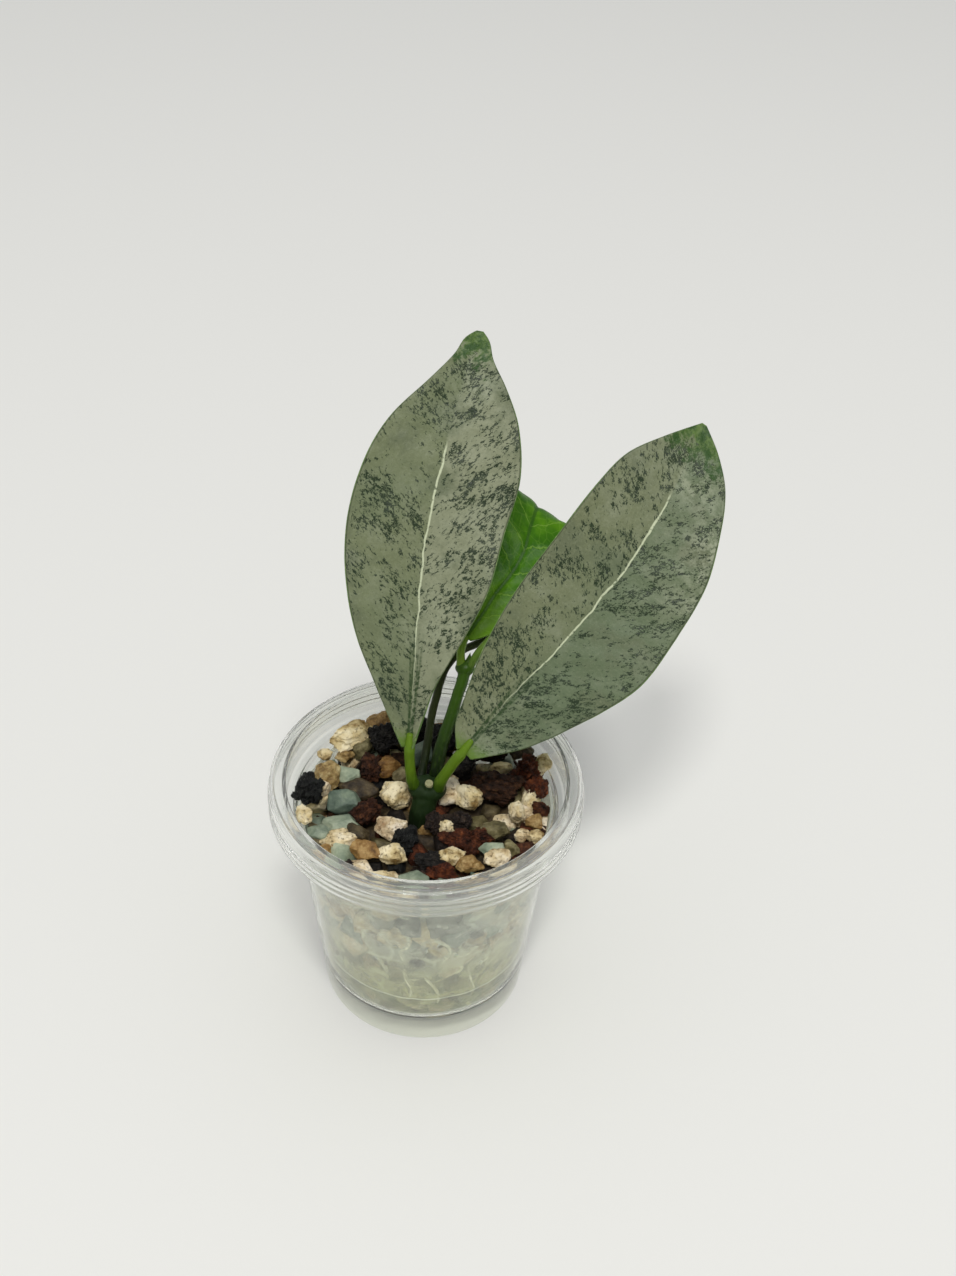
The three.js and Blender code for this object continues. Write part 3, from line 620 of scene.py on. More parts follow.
def silver_leaf(name, length, line_end, left_tint_and_shade, right_tint_and_shade, shift):
    """Silver-grey skin with dark green flecks in rows along the side veins and a pale midrib."""
    made, tree, shader = new_material(name)
    across, along, edge = leaf_places(tree)
    fleck_share, green_share, pale_share = leaf_marks(tree)
    reach = calc(tree, "ABSOLUTE", across)
    rim = calc(tree, "ABSOLUTE", edge)
    t = calc(tree, "DIVIDE", along, length)
    right_side = step_between(tree, calc(tree, "MULTIPLY", across, -1.0), -0.4, 0.4)
    side = calc(tree, "MULTIPLY_ADD", calc(tree, "GREATER_THAN", across, 0.0), 57.0, shift)
    row = calc(tree, "MULTIPLY_ADD", reach, -0.62, along)
    run = calc(tree, "MULTIPLY", reach, 0.78)
    rows = add_node(tree, "ShaderNodeCombineXYZ", X=row, Y=run, Z=side).outputs[0]
    flat = add_node(tree, "ShaderNodeCombineXYZ", X=across, Y=along, Z=shift).outputs[0]

    body = silver_ground(tree, flat, right_side, left_tint_and_shade, right_tint_and_shade)
    cool = calc(tree, "MULTIPLY", green_share, 0.32, clamp=True)
    body = mix_colours(tree, cool, body, srgb(88, 106, 78))
    patchy = step_between(tree, grain(tree, flat, 0.5, 4.0, 0.7), 0.38, 0.62)
    bloom = calc(tree, "MULTIPLY", pale_share, patchy)
    body = mix_colours(tree, calc(tree, "MULTIPLY", bloom, 0.6, clamp=True), body, srgb(160, 166, 140))

    speck = grain(tree, rows, 1.05, 4.0, 0.72)
    gather = grain(tree, rows, 0.26, 2.0, 0.5)
    lean = calc(tree, "MULTIPLY_ADD", fleck_share, FLECK_PATCH, speck)
    lean = calc(tree, "MULTIPLY_ADD", gather, 0.5, lean)
    halo = calc(tree, "MULTIPLY", step_between(tree, lean, FLECK_START - 0.06, FLECK_START + 0.1), 0.24)
    body = mix_colours(tree, halo, body, srgb(78, 98, 68))
    gathered = step_between(tree, lean, FLECK_START, FLECK_START + 0.04)
    flecks = calc(tree, "MULTIPLY", fine_threads(tree, rows, flat), gathered)
    ink = mix_colours(tree, grain(tree, flat, 0.7), srgb(12, 27, 12), srgb(38, 57, 27))
    body = mix_colours(tree, calc(tree, "MULTIPLY", flecks, 0.96), body, ink)

    body = add_tip_and_base(tree, body, flat, speck, t, reach, along)
    body = add_midrib_line(tree, body, flat, across, t, line_end)
    margin = calc(tree, "MULTIPLY", step_between(tree, rim, 0.972, 0.992), 0.75)
    body = mix_colours(tree, margin, body, srgb(62, 70, 46))
    tree.links.new(body, shader.inputs["Base Color"])

    sheen = calc(tree, "MULTIPLY_ADD", flecks, -0.1, 0.44)
    tree.links.new(sheen, shader.inputs["Roughness"])
    shader.inputs["Specular IOR Level"].default_value = 0.36
    skin = calc(tree, "MULTIPLY_ADD", flecks, -0.45, grain(tree, flat, 1.3, 5.0, 0.75))
    raise_surface(tree, shader, skin, 0.5, 0.0003)
    return made


def fine_threads(tree, rows, flat):
    """A net of thin crooked threads, of which the flecks are the short pieces that show."""
    crooked = bent_place(tree, rows, flat, 0.8, (3.4, 3.4, 0))
    return turned_off(tree, step_between(tree, net_distance(tree, crooked, 1.4), 0.13, 0.22))


def silver_ground(tree, flat, right_side, left_tint_and_shade, right_tint_and_shade):
    """The grey bloom under the flecks: a tint for each half, partly its own colour and partly painted light
    and shade from the way each half of the folded blade faces the lamps, with soft clouds and a fine dust.
    """
    # Each half's tint is partly painted light and shade for the way that half faces the lamps.
    ground = mix_colours(tree, right_side, left_tint_and_shade, right_tint_and_shade)
    clouds = grain(tree, flat, 0.075, 4.0, 0.62)
    ground = mix_colours(tree, step_between(tree, clouds, 0.5, 0.68), ground, srgb(100, 108, 80))
    haze = calc(tree, "MULTIPLY", step_between(tree, clouds, 0.5, 0.34), 0.5)
    ground = mix_colours(tree, haze, ground, srgb(132, 138, 112))
    dust = grain(tree, flat, 1.1, 6.0, 0.8)
    light = calc(tree, "MULTIPLY", step_between(tree, dust, 0.5, 0.68), 0.3)
    ground = mix_colours(tree, light, ground, srgb(150, 156, 126))
    dim = calc(tree, "MULTIPLY", step_between(tree, dust, 0.5, 0.34), 0.3)
    return mix_colours(tree, dim, ground, srgb(78, 88, 60))


def add_tip_and_base(tree, body, flat, speck, t, reach, along):
    """Blotched green at the drawn-out tip, and painted shade in dark green along the folds where the blade
    meets its stalk and beside the midrib there.
    """
    blots = grain(tree, flat, 0.32, 4.0, 0.65)
    fresh = mix_colours(tree, step_between(tree, blots, 0.42, 0.6), srgb(92, 118, 56), srgb(46, 78, 26))
    tip_line = calc(tree, "MULTIPLY_ADD", blots, 0.3, t)
    tip_line = calc(tree, "MULTIPLY_ADD", speck, 0.1, tip_line)
    body = mix_colours(tree, step_between(tree, tip_line, 1.105, 1.165), body, fresh)
    base_line = calc(tree, "MULTIPLY_ADD", speck, -0.06, t)
    base = turned_off(tree, step_between(tree, base_line, -0.022, 0.022))
    body = mix_colours(tree, base, body, srgb(92, 120, 44))
    # Painted shade: dark green along the folds at the base and beside its midrib, ragged, fading out between
    # a sixth and a third of the way along.
    fan = calc(tree, "MULTIPLY_ADD", along, -0.055, reach)
    fold_shade = turned_off(tree, step_between(tree, calc(tree, "ABSOLUTE", fan), 0.1, 0.5))
    beside = calc(tree, "ABSOLUTE", calc(tree, "SUBTRACT", reach, 0.55))
    beside_midrib_shade = turned_off(tree, step_between(tree, beside, 0.1, 0.35))
    fold_shade = calc(tree, "MAXIMUM", fold_shade, beside_midrib_shade)
    ragged = step_between(tree, speck, 0.4, 0.52)
    fold_shade = calc(tree, "MULTIPLY", fold_shade, calc(tree, "MULTIPLY_ADD", ragged, 0.6, 0.35))
    fold_shade = calc(tree, "MULTIPLY", fold_shade, turned_off(tree, step_between(tree, t, 0.16, 0.32)))
    return mix_colours(tree, fold_shade, body, srgb(44, 66, 30))


def add_midrib_line(tree, body, flat, across, t, line_end):
    """The pale midrib: thin, a little wavy, worn through here and there and fading at both ends."""
    sway = calc(tree, "MULTIPLY_ADD", grain(tree, flat, 0.14, 2.0), 1.5, -0.75)
    off = calc(tree, "ABSOLUTE", calc(tree, "ADD", across, sway))
    width = calc(tree, "MULTIPLY_ADD", grain(tree, flat, 0.5), 0.3, 0.02)
    wider = calc(tree, "MULTIPLY_ADD", step_between(tree, t, 0.1, 0.5), 0.7, 0.3)
    width = calc(tree, "MULTIPLY", width, wider)
    line = turned_off(tree, step_between(tree, calc(tree, "SUBTRACT", off, width), -0.06, 0.15))
    start = step_between(tree, t, 0.06, 0.34)
    stop = turned_off(tree, step_between(tree, t, line_end - 0.03, line_end))
    worn = step_between(tree, grain(tree, flat, 0.6, 3.0, 0.7), 0.34, 0.42)
    line = calc(tree, "MULTIPLY", line, calc(tree, "MULTIPLY", start, stop))
    line = calc(tree, "MULTIPLY", line, calc(tree, "MULTIPLY_ADD", worn, 0.75, 0.2))
    return mix_colours(tree, line, body, srgb(196, 204, 170))


def leaf_back(name, dark, light):
    """The plain green underside of a leaf, with paler side veins."""
    made, tree, shader = new_material(name)
    across, along, edge = leaf_places(tree)
    reach = calc(tree, "ABSOLUTE", across)
    row = calc(tree, "SUBTRACT", along, calc(tree, "MULTIPLY", reach, 0.6))
    wave = calc(tree, "SINE", calc(tree, "MULTIPLY", row, 0.85))
    flat = add_node(tree, "ShaderNodeCombineXYZ", X=across, Y=along, Z=edge).outputs[0]
    tone = grain(tree, flat, 0.12, 4.0, 0.65)
    body = colour_ramp(tree, tone, [(0.3, dark), (0.7, light)])
    veins = calc(tree, "MULTIPLY", step_between(tree, wave, 0.93, 1.0), 0.35)
    body = mix_colours(tree, veins, body, srgb(168, 190, 120))
    tree.links.new(body, shader.inputs["Base Color"])
    shader.inputs["Roughness"].default_value = 0.48
    raise_surface(tree, shader, grain(tree, flat, 1.4, 4.0, 0.7), 0.3, 0.0003)
    return made


def fresh_leaf(name):
    """Bright young skin, darker along the midrib as painted shade in its sunk groove, with thin paler side
    veins that fork and join.
    """
    made, tree, shader = new_material(name)
    across, along, edge = leaf_places(tree)
    reach = calc(tree, "ABSOLUTE", across)
    flat = add_node(tree, "ShaderNodeCombineXYZ", X=across, Y=along, Z=edge).outputs[0]
    warp = calc(tree, "MULTIPLY_ADD", grain(tree, flat, 0.18), 5.0, along)
    row = calc(tree, "SUBTRACT", warp, calc(tree, "MULTIPLY", reach, 0.75))
    wave = calc(tree, "SINE", calc(tree, "MULTIPLY", row, 0.9))
    veins = step_between(tree, wave, 0.965, 1.0)
    net = turned_off(tree, step_between(tree, net_distance(tree, flat, 0.34), 0.0, 0.06))
    tone = grain(tree, flat, 0.1, 3.0, 0.6)
    greens = [(0.3, srgb(36, 84, 0)), (0.5, srgb(58, 108, 0)), (0.72, srgb(92, 142, 10))]
    body = colour_ramp(tree, tone, greens)
    young = turned_off(tree, step_between(tree, along, 2.0, 20.0))
    body = mix_colours(tree, calc(tree, "MULTIPLY", young, 0.55), body, srgb(118, 156, 44))
    body = mix_colours(tree, calc(tree, "MULTIPLY", veins, 0.5), body, srgb(124, 162, 60))
    body = mix_colours(tree, calc(tree, "MULTIPLY", net, 0.16), body, srgb(128, 166, 64))
    # Painted shade: darker green along the sunk midrib.
    middle = turned_off(tree, step_between(tree, reach, 0.2, 0.75))
    body = mix_colours(tree, calc(tree, "MULTIPLY", middle, 0.7), body, srgb(38, 78, 12))
    tree.links.new(body, shader.inputs["Base Color"])
    shader.inputs["Roughness"].default_value = 0.42
    shader.inputs["Specular IOR Level"].default_value = 0.14
    skin = calc(tree, "MULTIPLY_ADD", veins, -0.6, grain(tree, flat, 0.9, 3.0, 0.6))
    raise_surface(tree, shader, skin, 0.4, 0.0003)
    return made


# Stems and stalks
def limb(points, radii, sides=20, steps=10):
    """A round stem along a smooth curve, swept as a bevelled path."""
    spine = spine_through(points)
    deselect()
    bpy.ops.curve.primitive_nurbs_path_add(location=(0, 0, 0))
    piece = bpy.context.object
    data = piece.data
    data.splines.clear()
    data.bevel_depth = MM
    data.bevel_resolution = max(sides // 4 - 1, 1)
    data.use_fill_caps = True
    count = (len(points) - 1) * steps
    strand = data.splines.new("POLY")
    strand.points.add(count)
    for k in range(count + 1):
        t = k / count
        point, _ = spine(t)
        strand.points[k].co = (*at(*point), 1)
        slot = t * (len(radii) - 1)
        i = min(int(slot), len(radii) - 2)
        strand.points[k].radius = radii[i] + (radii[i + 1] - radii[i]) * (slot - i)
    only(piece)
    bpy.ops.object.convert(target="MESH")
    return bpy.context.object


def knot(centre, radii):
    """A round swelling on a stem."""
    deselect()
    bpy.ops.mesh.primitive_uv_sphere_add(segments=28, ring_count=16, location=at(*centre))
    ball = bpy.context.object
    ball.scale = Vector(radii) * MM
    bpy.ops.object.transform_apply(location=True, rotation=True, scale=True)
    return ball


def swell(piece, height, size):
    """Pushes a surface in and out along its normals by smooth noise."""
    normals = [vertex.normal.copy() for vertex in piece.data.vertices]
    for vertex, normal in zip(piece.data.vertices, normals):
        vertex.co += normal * noise.noise(vertex.co / (size * MM)) * height * MM


def grown_together(pieces, voxel, smoothing, bumps, bump_size):
    """Stems and knots remeshed into one skin, smoothed, and roughened a little."""
    body = join_pieces(pieces)
    apply_modifier(body, "REMESH", mode="VOXEL", voxel_size=voxel * MM)
    apply_modifier(body, "SMOOTH", factor=0.6, iterations=smoothing)
    swell(body, bumps, bump_size)
    return body


def stem_skin(name, low, high, low_z, high_z, streak, roughness=0.42):
    """Smooth living bark whose colour changes with height, with fine long streaks."""
    made, tree, shader = new_material(name)
    place = object_place(tree)
    height = add_node(tree, "ShaderNodeSeparateXYZ", Vector=place).outputs[2]
    mottle = grain(tree, place, 350.0, 4.0, 0.65)
    level = calc(tree, "MULTIPLY_ADD", mottle, 0.006, height)
    body = mix_colours(tree, step_between(tree, level, low_z * MM, high_z * MM), low, high)
    long = add_node(tree, "ShaderNodeMapping", Vector=place)
    long.inputs["Scale"].default_value = (1, 1, 0.14)
    fibres = grain(tree, long.outputs[0], 1500.0, 3.0, 0.6)
    streaks = calc(tree, "MULTIPLY", step_between(tree, fibres, 0.5, 0.75), 0.35)
    body = mix_colours(tree, streaks, body, streak)
    tree.links.new(body, shader.inputs["Base Color"])
    shader.inputs["Roughness"].default_value = roughness
    shader.inputs["Specular IOR Level"].default_value = 0.22
    raise_surface(tree, shader, fibres, 0.3, 0.0002)
    return made


def rib_points(shape, lift, places):
    """The course of the rib under a blade, which sinks clear of its front just past the stalk."""
    spine = spine_through(shape["spine"])
    points = []
    for t in places:
        point, out, _ = leaf_point(shape, spine, lift, t, 0.0)
        sunk = 0.5 + 0.55 * min(t / 0.1, 1)
        points.append(tuple(point - out * LEAF_THICKNESS * sunk))
    return points


def build_leaf(name, node, slot, shape, lift, relief, grid, stalk, stalk_radii, rib_radii, front, back, skin):
    """A leaf: its blade, the stalk that carries it and the rib under it."""
    blade = grow_blade(shape, lift, *grid, relief, front, back)
    settle(blade, name + "_blade", node, slot)
    ribs = rib_points(shape, lift, (0.005, 0.1, 0.25, 0.45, 0.65, 0.82))
    stalk_piece = limb(stalk, stalk_radii, steps=12)
    rib_piece = limb(ribs, rib_radii, sides=12, steps=8)
    body = grown_together([stalk_piece, rib_piece], 0.3, 3, 0.07, 2.5)
    settle(body, name + "_stalk", node, slot, skin)


def build_plant():
    """The two silver leaves, the young leaf and its partner, and the stems."""
    stalk_green = stem_skin("stalk_green", srgb(34, 62, 6), srgb(90, 120, 24), 69, 80, srgb(112, 140, 42))
    silver_back = leaf_back("silver_leaf_back", srgb(74, 104, 46), srgb(104, 132, 68))
    fresh_back = leaf_back("fresh_leaf_back", srgb(72, 116, 22), srgb(108, 146, 44))
    left_lift = silver_lift(2.4, 2.6, 1.1, 17, 0.6)
    right_lift = silver_lift(2, 2.4, 1.2, 15, 2.2)
    build_leaf(
        "left_leaf", "leaf_left", "silver_leaf", LEFT_LEAF, left_lift, silver_relief(1), (26, 74),
        [(-3, -1, 68.4), (-3.8, -1.5, 72), (-4.2, -1.5, 77.5), (-4.3, -1.6, 82.3), (-4.2, -0.4, 86)],
        (1.7, 1.4, 1.35, 1.4, 0.9), (1.3, 1.15, 0.95, 0.8, 0.6, 0.3),
        silver_leaf("silver_leaf_left", 102.6, 0.74, srgb(113, 121, 88), srgb(133, 138, 110), 3.0),
        silver_back, stalk_green,
    )
    build_leaf(
        "right_leaf", "leaf_right", "silver_leaf", RIGHT_LEAF, right_lift, silver_relief(21), (28, 70),
        [(3, -1.3, 68.4), (3.9, -1.8, 72), (6.2, -2.4, 77.5), (8.7, -3, 82.6), (11, -1.7, 86)],
        (1.8, 1.5, 1.45, 1.45, 0.9), (1.35, 1.2, 1, 0.8, 0.6, 0.3),
        silver_leaf("silver_leaf_right", 97.9, 0.83, srgb(112, 119, 87), srgb(99, 112, 82), 31.0),
        silver_back, stalk_green,
    )
    young_stalk = stem_skin("young_stalk", srgb(76, 106, 20), srgb(118, 148, 50), 95, 101, srgb(136, 160, 70))
    build_leaf(
        "new_leaf", "leaf_new", "fresh_leaf", NEW_LEAF, new_leaf_lift, fresh_relief, (20, 48),
        [(7.5, 15.4, 94), (7.3, 17.1, 97.1), (7.5, 18.5, 98.6), (8.6, 20.4, 100.4)],
        (1.3, 1.1, 1.1, 0.8), (1, 0.85, 0.7, 0.5, 0.3, 0.2),
        fresh_leaf("fresh_leaf"), fresh_back, young_stalk,
    )
    dark_stalk = stem_skin("dark_stalk", srgb(60, 84, 28), srgb(88, 116, 40), 95, 103, srgb(110, 130, 60))
    build_leaf(
        "partner_leaf", "leaf_partner", "fresh_leaf", PARTNER_LEAF, partner_lift, fresh_relief, (14, 34),
        [(9.6, 15.2, 94.4), (11.6, 16.5, 98.3), (14.9, 18.8, 101.8), (18.6, 21.3, 104.9)],
        (1.1, 1, 0.95, 0.8), (0.8, 0.65, 0.5, 0.4, 0.3, 0.2),
        fresh_leaf("partner_leaf_skin"), fresh_back, dark_stalk,
    )
    build_stems()


def build_stems():
    """The old stub with its cut end, and the two shoots that grow from its head."""
    old_bark = stem_skin("old_stem_bark", srgb(14, 22, 10), srgb(26, 44, 16), 58, 70, srgb(44, 60, 26), 0.5)
    trunk = limb([(-2.2, -2.6, 44), (-1.6, -3, 52), (-1, -2.8, 60), (0, -0.8, 66)], (2.6, 3, 3.2, 3.4))
    stump = limb([(0.2, -1.4, 67.5), (0.5, -1.9, 69.2), (0.7, -2.2, 70.4)], (1.5, 1.2, 1.15))
    head = knot((0.2, -0.1, 67), (5, 4, 3.2))
    old_stem = grown_together([trunk, stump, head], 0.32, 4, 0.22, 2.2)
    settle(old_stem, "old_stem", "main_stem", "old_stem", old_bark)

    cut, tree, shader = new_material("cut_wood")
    rings = grain(tree, object_place(tree), 2500.0)
    wood = colour_ramp(tree, rings, [(0.3, srgb(122, 122, 84)), (0.7, srgb(166, 164, 124))])
    tree.links.new(wood, shader.inputs["Base Color"])
    shader.inputs["Roughness"].default_value = 0.7
    face = limb([(0.66, -2.1, 70.2), (0.74, -2.3, 71)], (1.1, 1), steps=3)
    settle(face, "stem_cut", "main_stem", "old_stem", cut, smooth_angle=40)

    green_bark = stem_skin("green_shoot_bark", srgb(12, 26, 5), srgb(50, 80, 12), 72, 96, srgb(66, 92, 24))
    shoot = limb(
        [
            (1.9, 1.7, 67.6), (3.3, 5, 76.6), (5.3, 8.5, 82.7),
            (6.6, 11.2, 87.1), (8, 13.8, 91.6), (8.5, 15.5, 94.1),
        ],
        (1.6, 1.75, 1.7, 1.6, 1.5, 1.6),
    )
    bud = limb([(9, 16, 94.8), (9.4, 16.6, 96.4), (9.7, 17.1, 98)], (0.9, 0.6, 0.12), steps=6)
    swelling = knot((8.5, 15.5, 94.1), (2.5, 2, 1.9))
    right_shoot = grown_together([shoot, bud, swelling], 0.24, 3, 0.1, 2)
    settle(right_shoot, "right_shoot", "shoot_right", "green_shoot", green_bark)

    dark_bark = stem_skin("dark_shoot_bark", srgb(16, 28, 10), srgb(52, 60, 28), 70, 92, srgb(68, 74, 38))
    left_shoot = limb(
        [
            (-1.7, 2.1, 68), (-0.4, 6.6, 74.2), (0.4, 10.5, 80.7), (1.4, 13, 85.3),
            (3.4, 17, 91.9), (7, 20.5, 95.1), (12, 22.5, 97), (20.6, 26, 101.1),
        ],
        (1.15, 1.1, 1.05, 1.05, 1.05, 1, 0.95, 0.3),
    )
    left_shoot = grown_together([left_shoot], 0.24, 2, 0.08, 2)
    settle(left_shoot, "left_shoot", "shoot_left", "dark_shoot", dark_bark)


# The cup
RIM_WALL = 35.2
SKIRT_BEADS = (64.6, 66.5, 68.2)

# Heights of the edge rings that keep the long wall evenly shaded.
WALL_RINGS = (4, 8.6, 10, 15, 25, 35, 45, 55, 60, 61.4)


def spin_profile(profile, steps=128):
    """A closed shell turned about the cup's axis from a chain of edges."""
    deselect()
    bpy.ops.mesh.primitive_plane_add(size=0.001, location=(0, 0, 0))
    shell = bpy.context.object
    bpy.ops.object.mode_set(mode="EDIT")
    bpy.ops.mesh.select_all(action="SELECT")
    bpy.ops.mesh.merge(type="CENTER")
    bpy.ops.transform.translate(value=at(profile[0][0], 0, profile[0][1]))
    for (r0, z0), (r1, z1) in zip(profile, profile[1:]):
        step = Vector((r1 - r0, 0, z1 - z0)) * MM
        bpy.ops.mesh.extrude_vertices_move(TRANSFORM_OT_translate={"value": step})
    bpy.ops.mesh.select_all(action="SELECT")
    bpy.ops.mesh.spin(steps=steps, angle=2 * math.pi, center=AXIS, axis=(0, 0, 1))
    bpy.ops.mesh.select_all(action="SELECT")
    bpy.ops.mesh.remove_doubles(threshold=0.00002)
    bpy.ops.mesh.normals_make_consistent(inside=False)
    bpy.ops.object.mode_set(mode="OBJECT")
    return shell


def clear_plastic(name, tint, roughness, see_through):
    """Thin clear plastic that lets the room's light through to what is inside it."""
    made, tree, shader = new_material(name)
    shader.inputs["Base Color"].default_value = tint
    shader.inputs["Roughness"].default_value = roughness
    shader.inputs["IOR"].default_value = 1.45
    shader.inputs["Transmission Weight"].default_value = see_through
    open_way = add_node(tree, "ShaderNodeBsdfTransparent", Color=(0.93, 0.94, 0.93, 1))
    path = add_node(tree, "ShaderNodeLightPath")
    surface = shader.outputs[0]
    for ray in ("Is Diffuse Ray", "Is Shadow Ray"):
        both = add_node(tree, "ShaderNodeMixShader", Fac=path.outputs[ray])
        tree.links.new(surface, both.inputs[1])
        tree.links.new(open_way.outputs[0], both.inputs[2])
        surface = both.outputs[0]
    tree.links.new(surface, tree.nodes["Material Output"].inputs["Surface"])
    return made, tree, shader


def wall_plastic():
    """The thin drawn wall: clear, with a faint wave and scuffs."""
    made, tree, shader = clear_plastic("wall_plastic", srgb(248, 250, 246), 0.06, 0.94)
    place = object_place(tree)
    scuffs = step_between(tree, grain(tree, place, 700.0, 3.0, 0.7), 0.5, 0.8)
    tree.links.new(calc(tree, "MULTIPLY_ADD", scuffs, 0.1, 0.03), shader.inputs["Roughness"])
    raise_surface(tree, shader, grain(tree, place, 90.0, 2.0, 0.5), 0.05, 0.001)
    return made


def rim_plastic():
    """The thick rolled rim: the same plastic, a little milkier."""
    made, tree, shader = clear_plastic("rim_plastic", srgb(247, 248, 245), 0.07, 0.94)
    place = object_place(tree)
    scuffs = step_between(tree, grain(tree, place, 500.0, 3.0, 0.7), 0.5, 0.8)
    tree.links.new(calc(tree, "MULTIPLY_ADD", scuffs, 0.12, 0.04), shader.inputs["Roughness"])
    raise_surface(tree, shader, grain(tree, place, 70.0, 2.0, 0.5), 0.05, 0.001)
    return made


def foot_plastic():
    """The foot ring under the floor: the same plastic, milkier and scuffed where it stands."""
    made, tree, shader = clear_plastic("foot_plastic", srgb(238, 240, 228), 0.1, 0.78)
    place = object_place(tree)
    scuffs = step_between(tree, grain(tree, place, 300.0, 4.0, 0.7), 0.4, 0.7)
    tree.links.new(calc(tree, "MULTIPLY_ADD", scuffs, 0.05, 0.06), shader.inputs["Roughness"])
    raise_surface(tree, shader, grain(tree, place, 60.0, 2.0, 0.5), 0.01, 0.001)
    return made


def foot_profile():
    """The underside of the floor and the foot ring, from the axis outwards."""
    under_floor = FLOOR_HEIGHT - CUP_WALL
    foot_inner = 26.1
    return [
        (0, under_floor),
        (foot_inner - 0.2, under_floor),
        (foot_inner, under_floor - 0.3),
        (foot_inner, 0),
        (FOOT_RADIUS - 0.2, 0),
        (FOOT_RADIUS + 0.15, 0.5),
    ]


def rim_profile():
    """The stacking ledge, the rim with its hanging beaded skirt and the lip, from outside to inside."""
    ledge_outer = wall_radius(LEDGE_HEIGHT - 1.9)
    rim_outer_wall = RIM_WALL + CUP_WALL
    skirt_inner = RIM_RADIUS - CUP_WALL
    skirt = RIM_RADIUS - 0.42
    top_ring = RIM_RADIUS - 1.6
    outside = [
        (ledge_outer, LEDGE_HEIGHT - 1.9),
        (ledge_outer + 0.5, LEDGE_HEIGHT - 0.9),
        (rim_outer_wall - 0.4, LEDGE_HEIGHT - 0.2),
        (rim_outer_wall, LEDGE_HEIGHT + 0.4),
        (rim_outer_wall, CUP_HEIGHT - CUP_WALL),
        (top_ring - 0.4, CUP_HEIGHT - CUP_WALL),
        (skirt_inner, CUP_HEIGHT - 2),
        (skirt_inner, LEDGE_HEIGHT - 0.3),
        (skirt, LEDGE_HEIGHT - 0.3),
    ]
    for bead in SKIRT_BEADS:
        outside += [(skirt, bead - 0.5), (RIM_RADIUS, bead), (skirt, bead + 0.5)]
    return outside + [
        (skirt, 70.4),
        (skirt - 0.5, 71),
        (top_ring, 71.1),
        (top_ring - 0.2, CUP_HEIGHT),
        (RIM_WALL + 0.2, CUP_HEIGHT),
        (RIM_WALL, CUP_HEIGHT - 0.3),
        (RIM_WALL, LEDGE_HEIGHT + 0.9),
        (RIM_WALL - 0.4, LEDGE_HEIGHT + 0.4),
        (ledge_outer - CUP_WALL + 0.6, LEDGE_HEIGHT),
        (ledge_outer - CUP_WALL, LEDGE_HEIGHT - 1.1),
    ]


def build_cup():
    """The cup, spun from one closed outline: foot, wall, rim, and back down the inside."""
    profile = foot_profile()
    profile += [(wall_radius(z), z) for z in WALL_RINGS]
    profile += rim_profile()
    profile += [(wall_radius(z) - CUP_WALL, z) for z in reversed(WALL_RINGS) if z > FLOOR_HEIGHT + 3]
    profile += [
        (wall_radius(FLOOR_HEIGHT + 2) - CUP_WALL, FLOOR_HEIGHT + 2),
        (wall_radius(FLOOR_HEIGHT + 1) - CUP_WALL - 0.1, FLOOR_HEIGHT + 1),
        (wall_radius(FLOOR_HEIGHT) - CUP_WALL - 0.9, FLOOR_HEIGHT),
        (0, FLOOR_HEIGHT),
    ]
    cup = spin_profile(profile)
    corner = math.radians(25)
    apply_modifier(cup, "BEVEL", width=0.18 * MM, segments=2, limit_method="ANGLE", angle_limit=corner)
    for face in cup.data.polygons:
        if face.center.z > (LEDGE_HEIGHT - 1.5) * MM:
            face.material_index = 1
        if face.center.z < (FLOOR_HEIGHT - CUP_WALL - 0.1) * MM:
            face.material_index = 2
    skins = (wall_plastic(), rim_plastic(), foot_plastic())
    settle(cup, "clear_cup", "cup", "clear_plastic", *skins, smooth_angle=50)


# The wet inside of the cup
FILM_GAP = 0.45
FILM_THICKNESS = 0.12


def build_wet_inside():
    """The misted film inside the wall, the water at the bottom and the droplets."""
    gap = CUP_WALL + FILM_GAP
    skin = FILM_THICKNESS
    low, line, high = FLOOR_HEIGHT + 1.2, WATER_HEIGHT, LEDGE_HEIGHT - 2.2
    film = spin_profile(
        [
            (wall_radius(low) - gap - skin, low),
            (wall_radius(low) - gap, low),
            (wall_radius(line) - gap, line),
            (wall_radius(high) - gap, high),
            (wall_radius(high) - gap - skin, high),
            (wall_radius(line) - gap - skin, line),
            (wall_radius(low) - gap - skin, low),
        ],
        96,
    )
    settle(film, "wall_film", "growing_mix", "stones", film_skin(), smooth_angle=50)
    build_water()
    build_droplets()


def wet_edges(tree, place):
    """Light seams where water clings between the stones that press on the wall."""
    bent = bent_place(tree, place, place, 260.0, (0.0035, 0.0035, 0.0035))
    seams = turned_off(tree, step_between(tree, net_distance(tree, bent, 135.0), 0.02, 0.13))
    return calc(tree, "MULTIPLY", seams, step_between(tree, grain(tree, place, 190.0, 3.0), 0.38, 0.6))


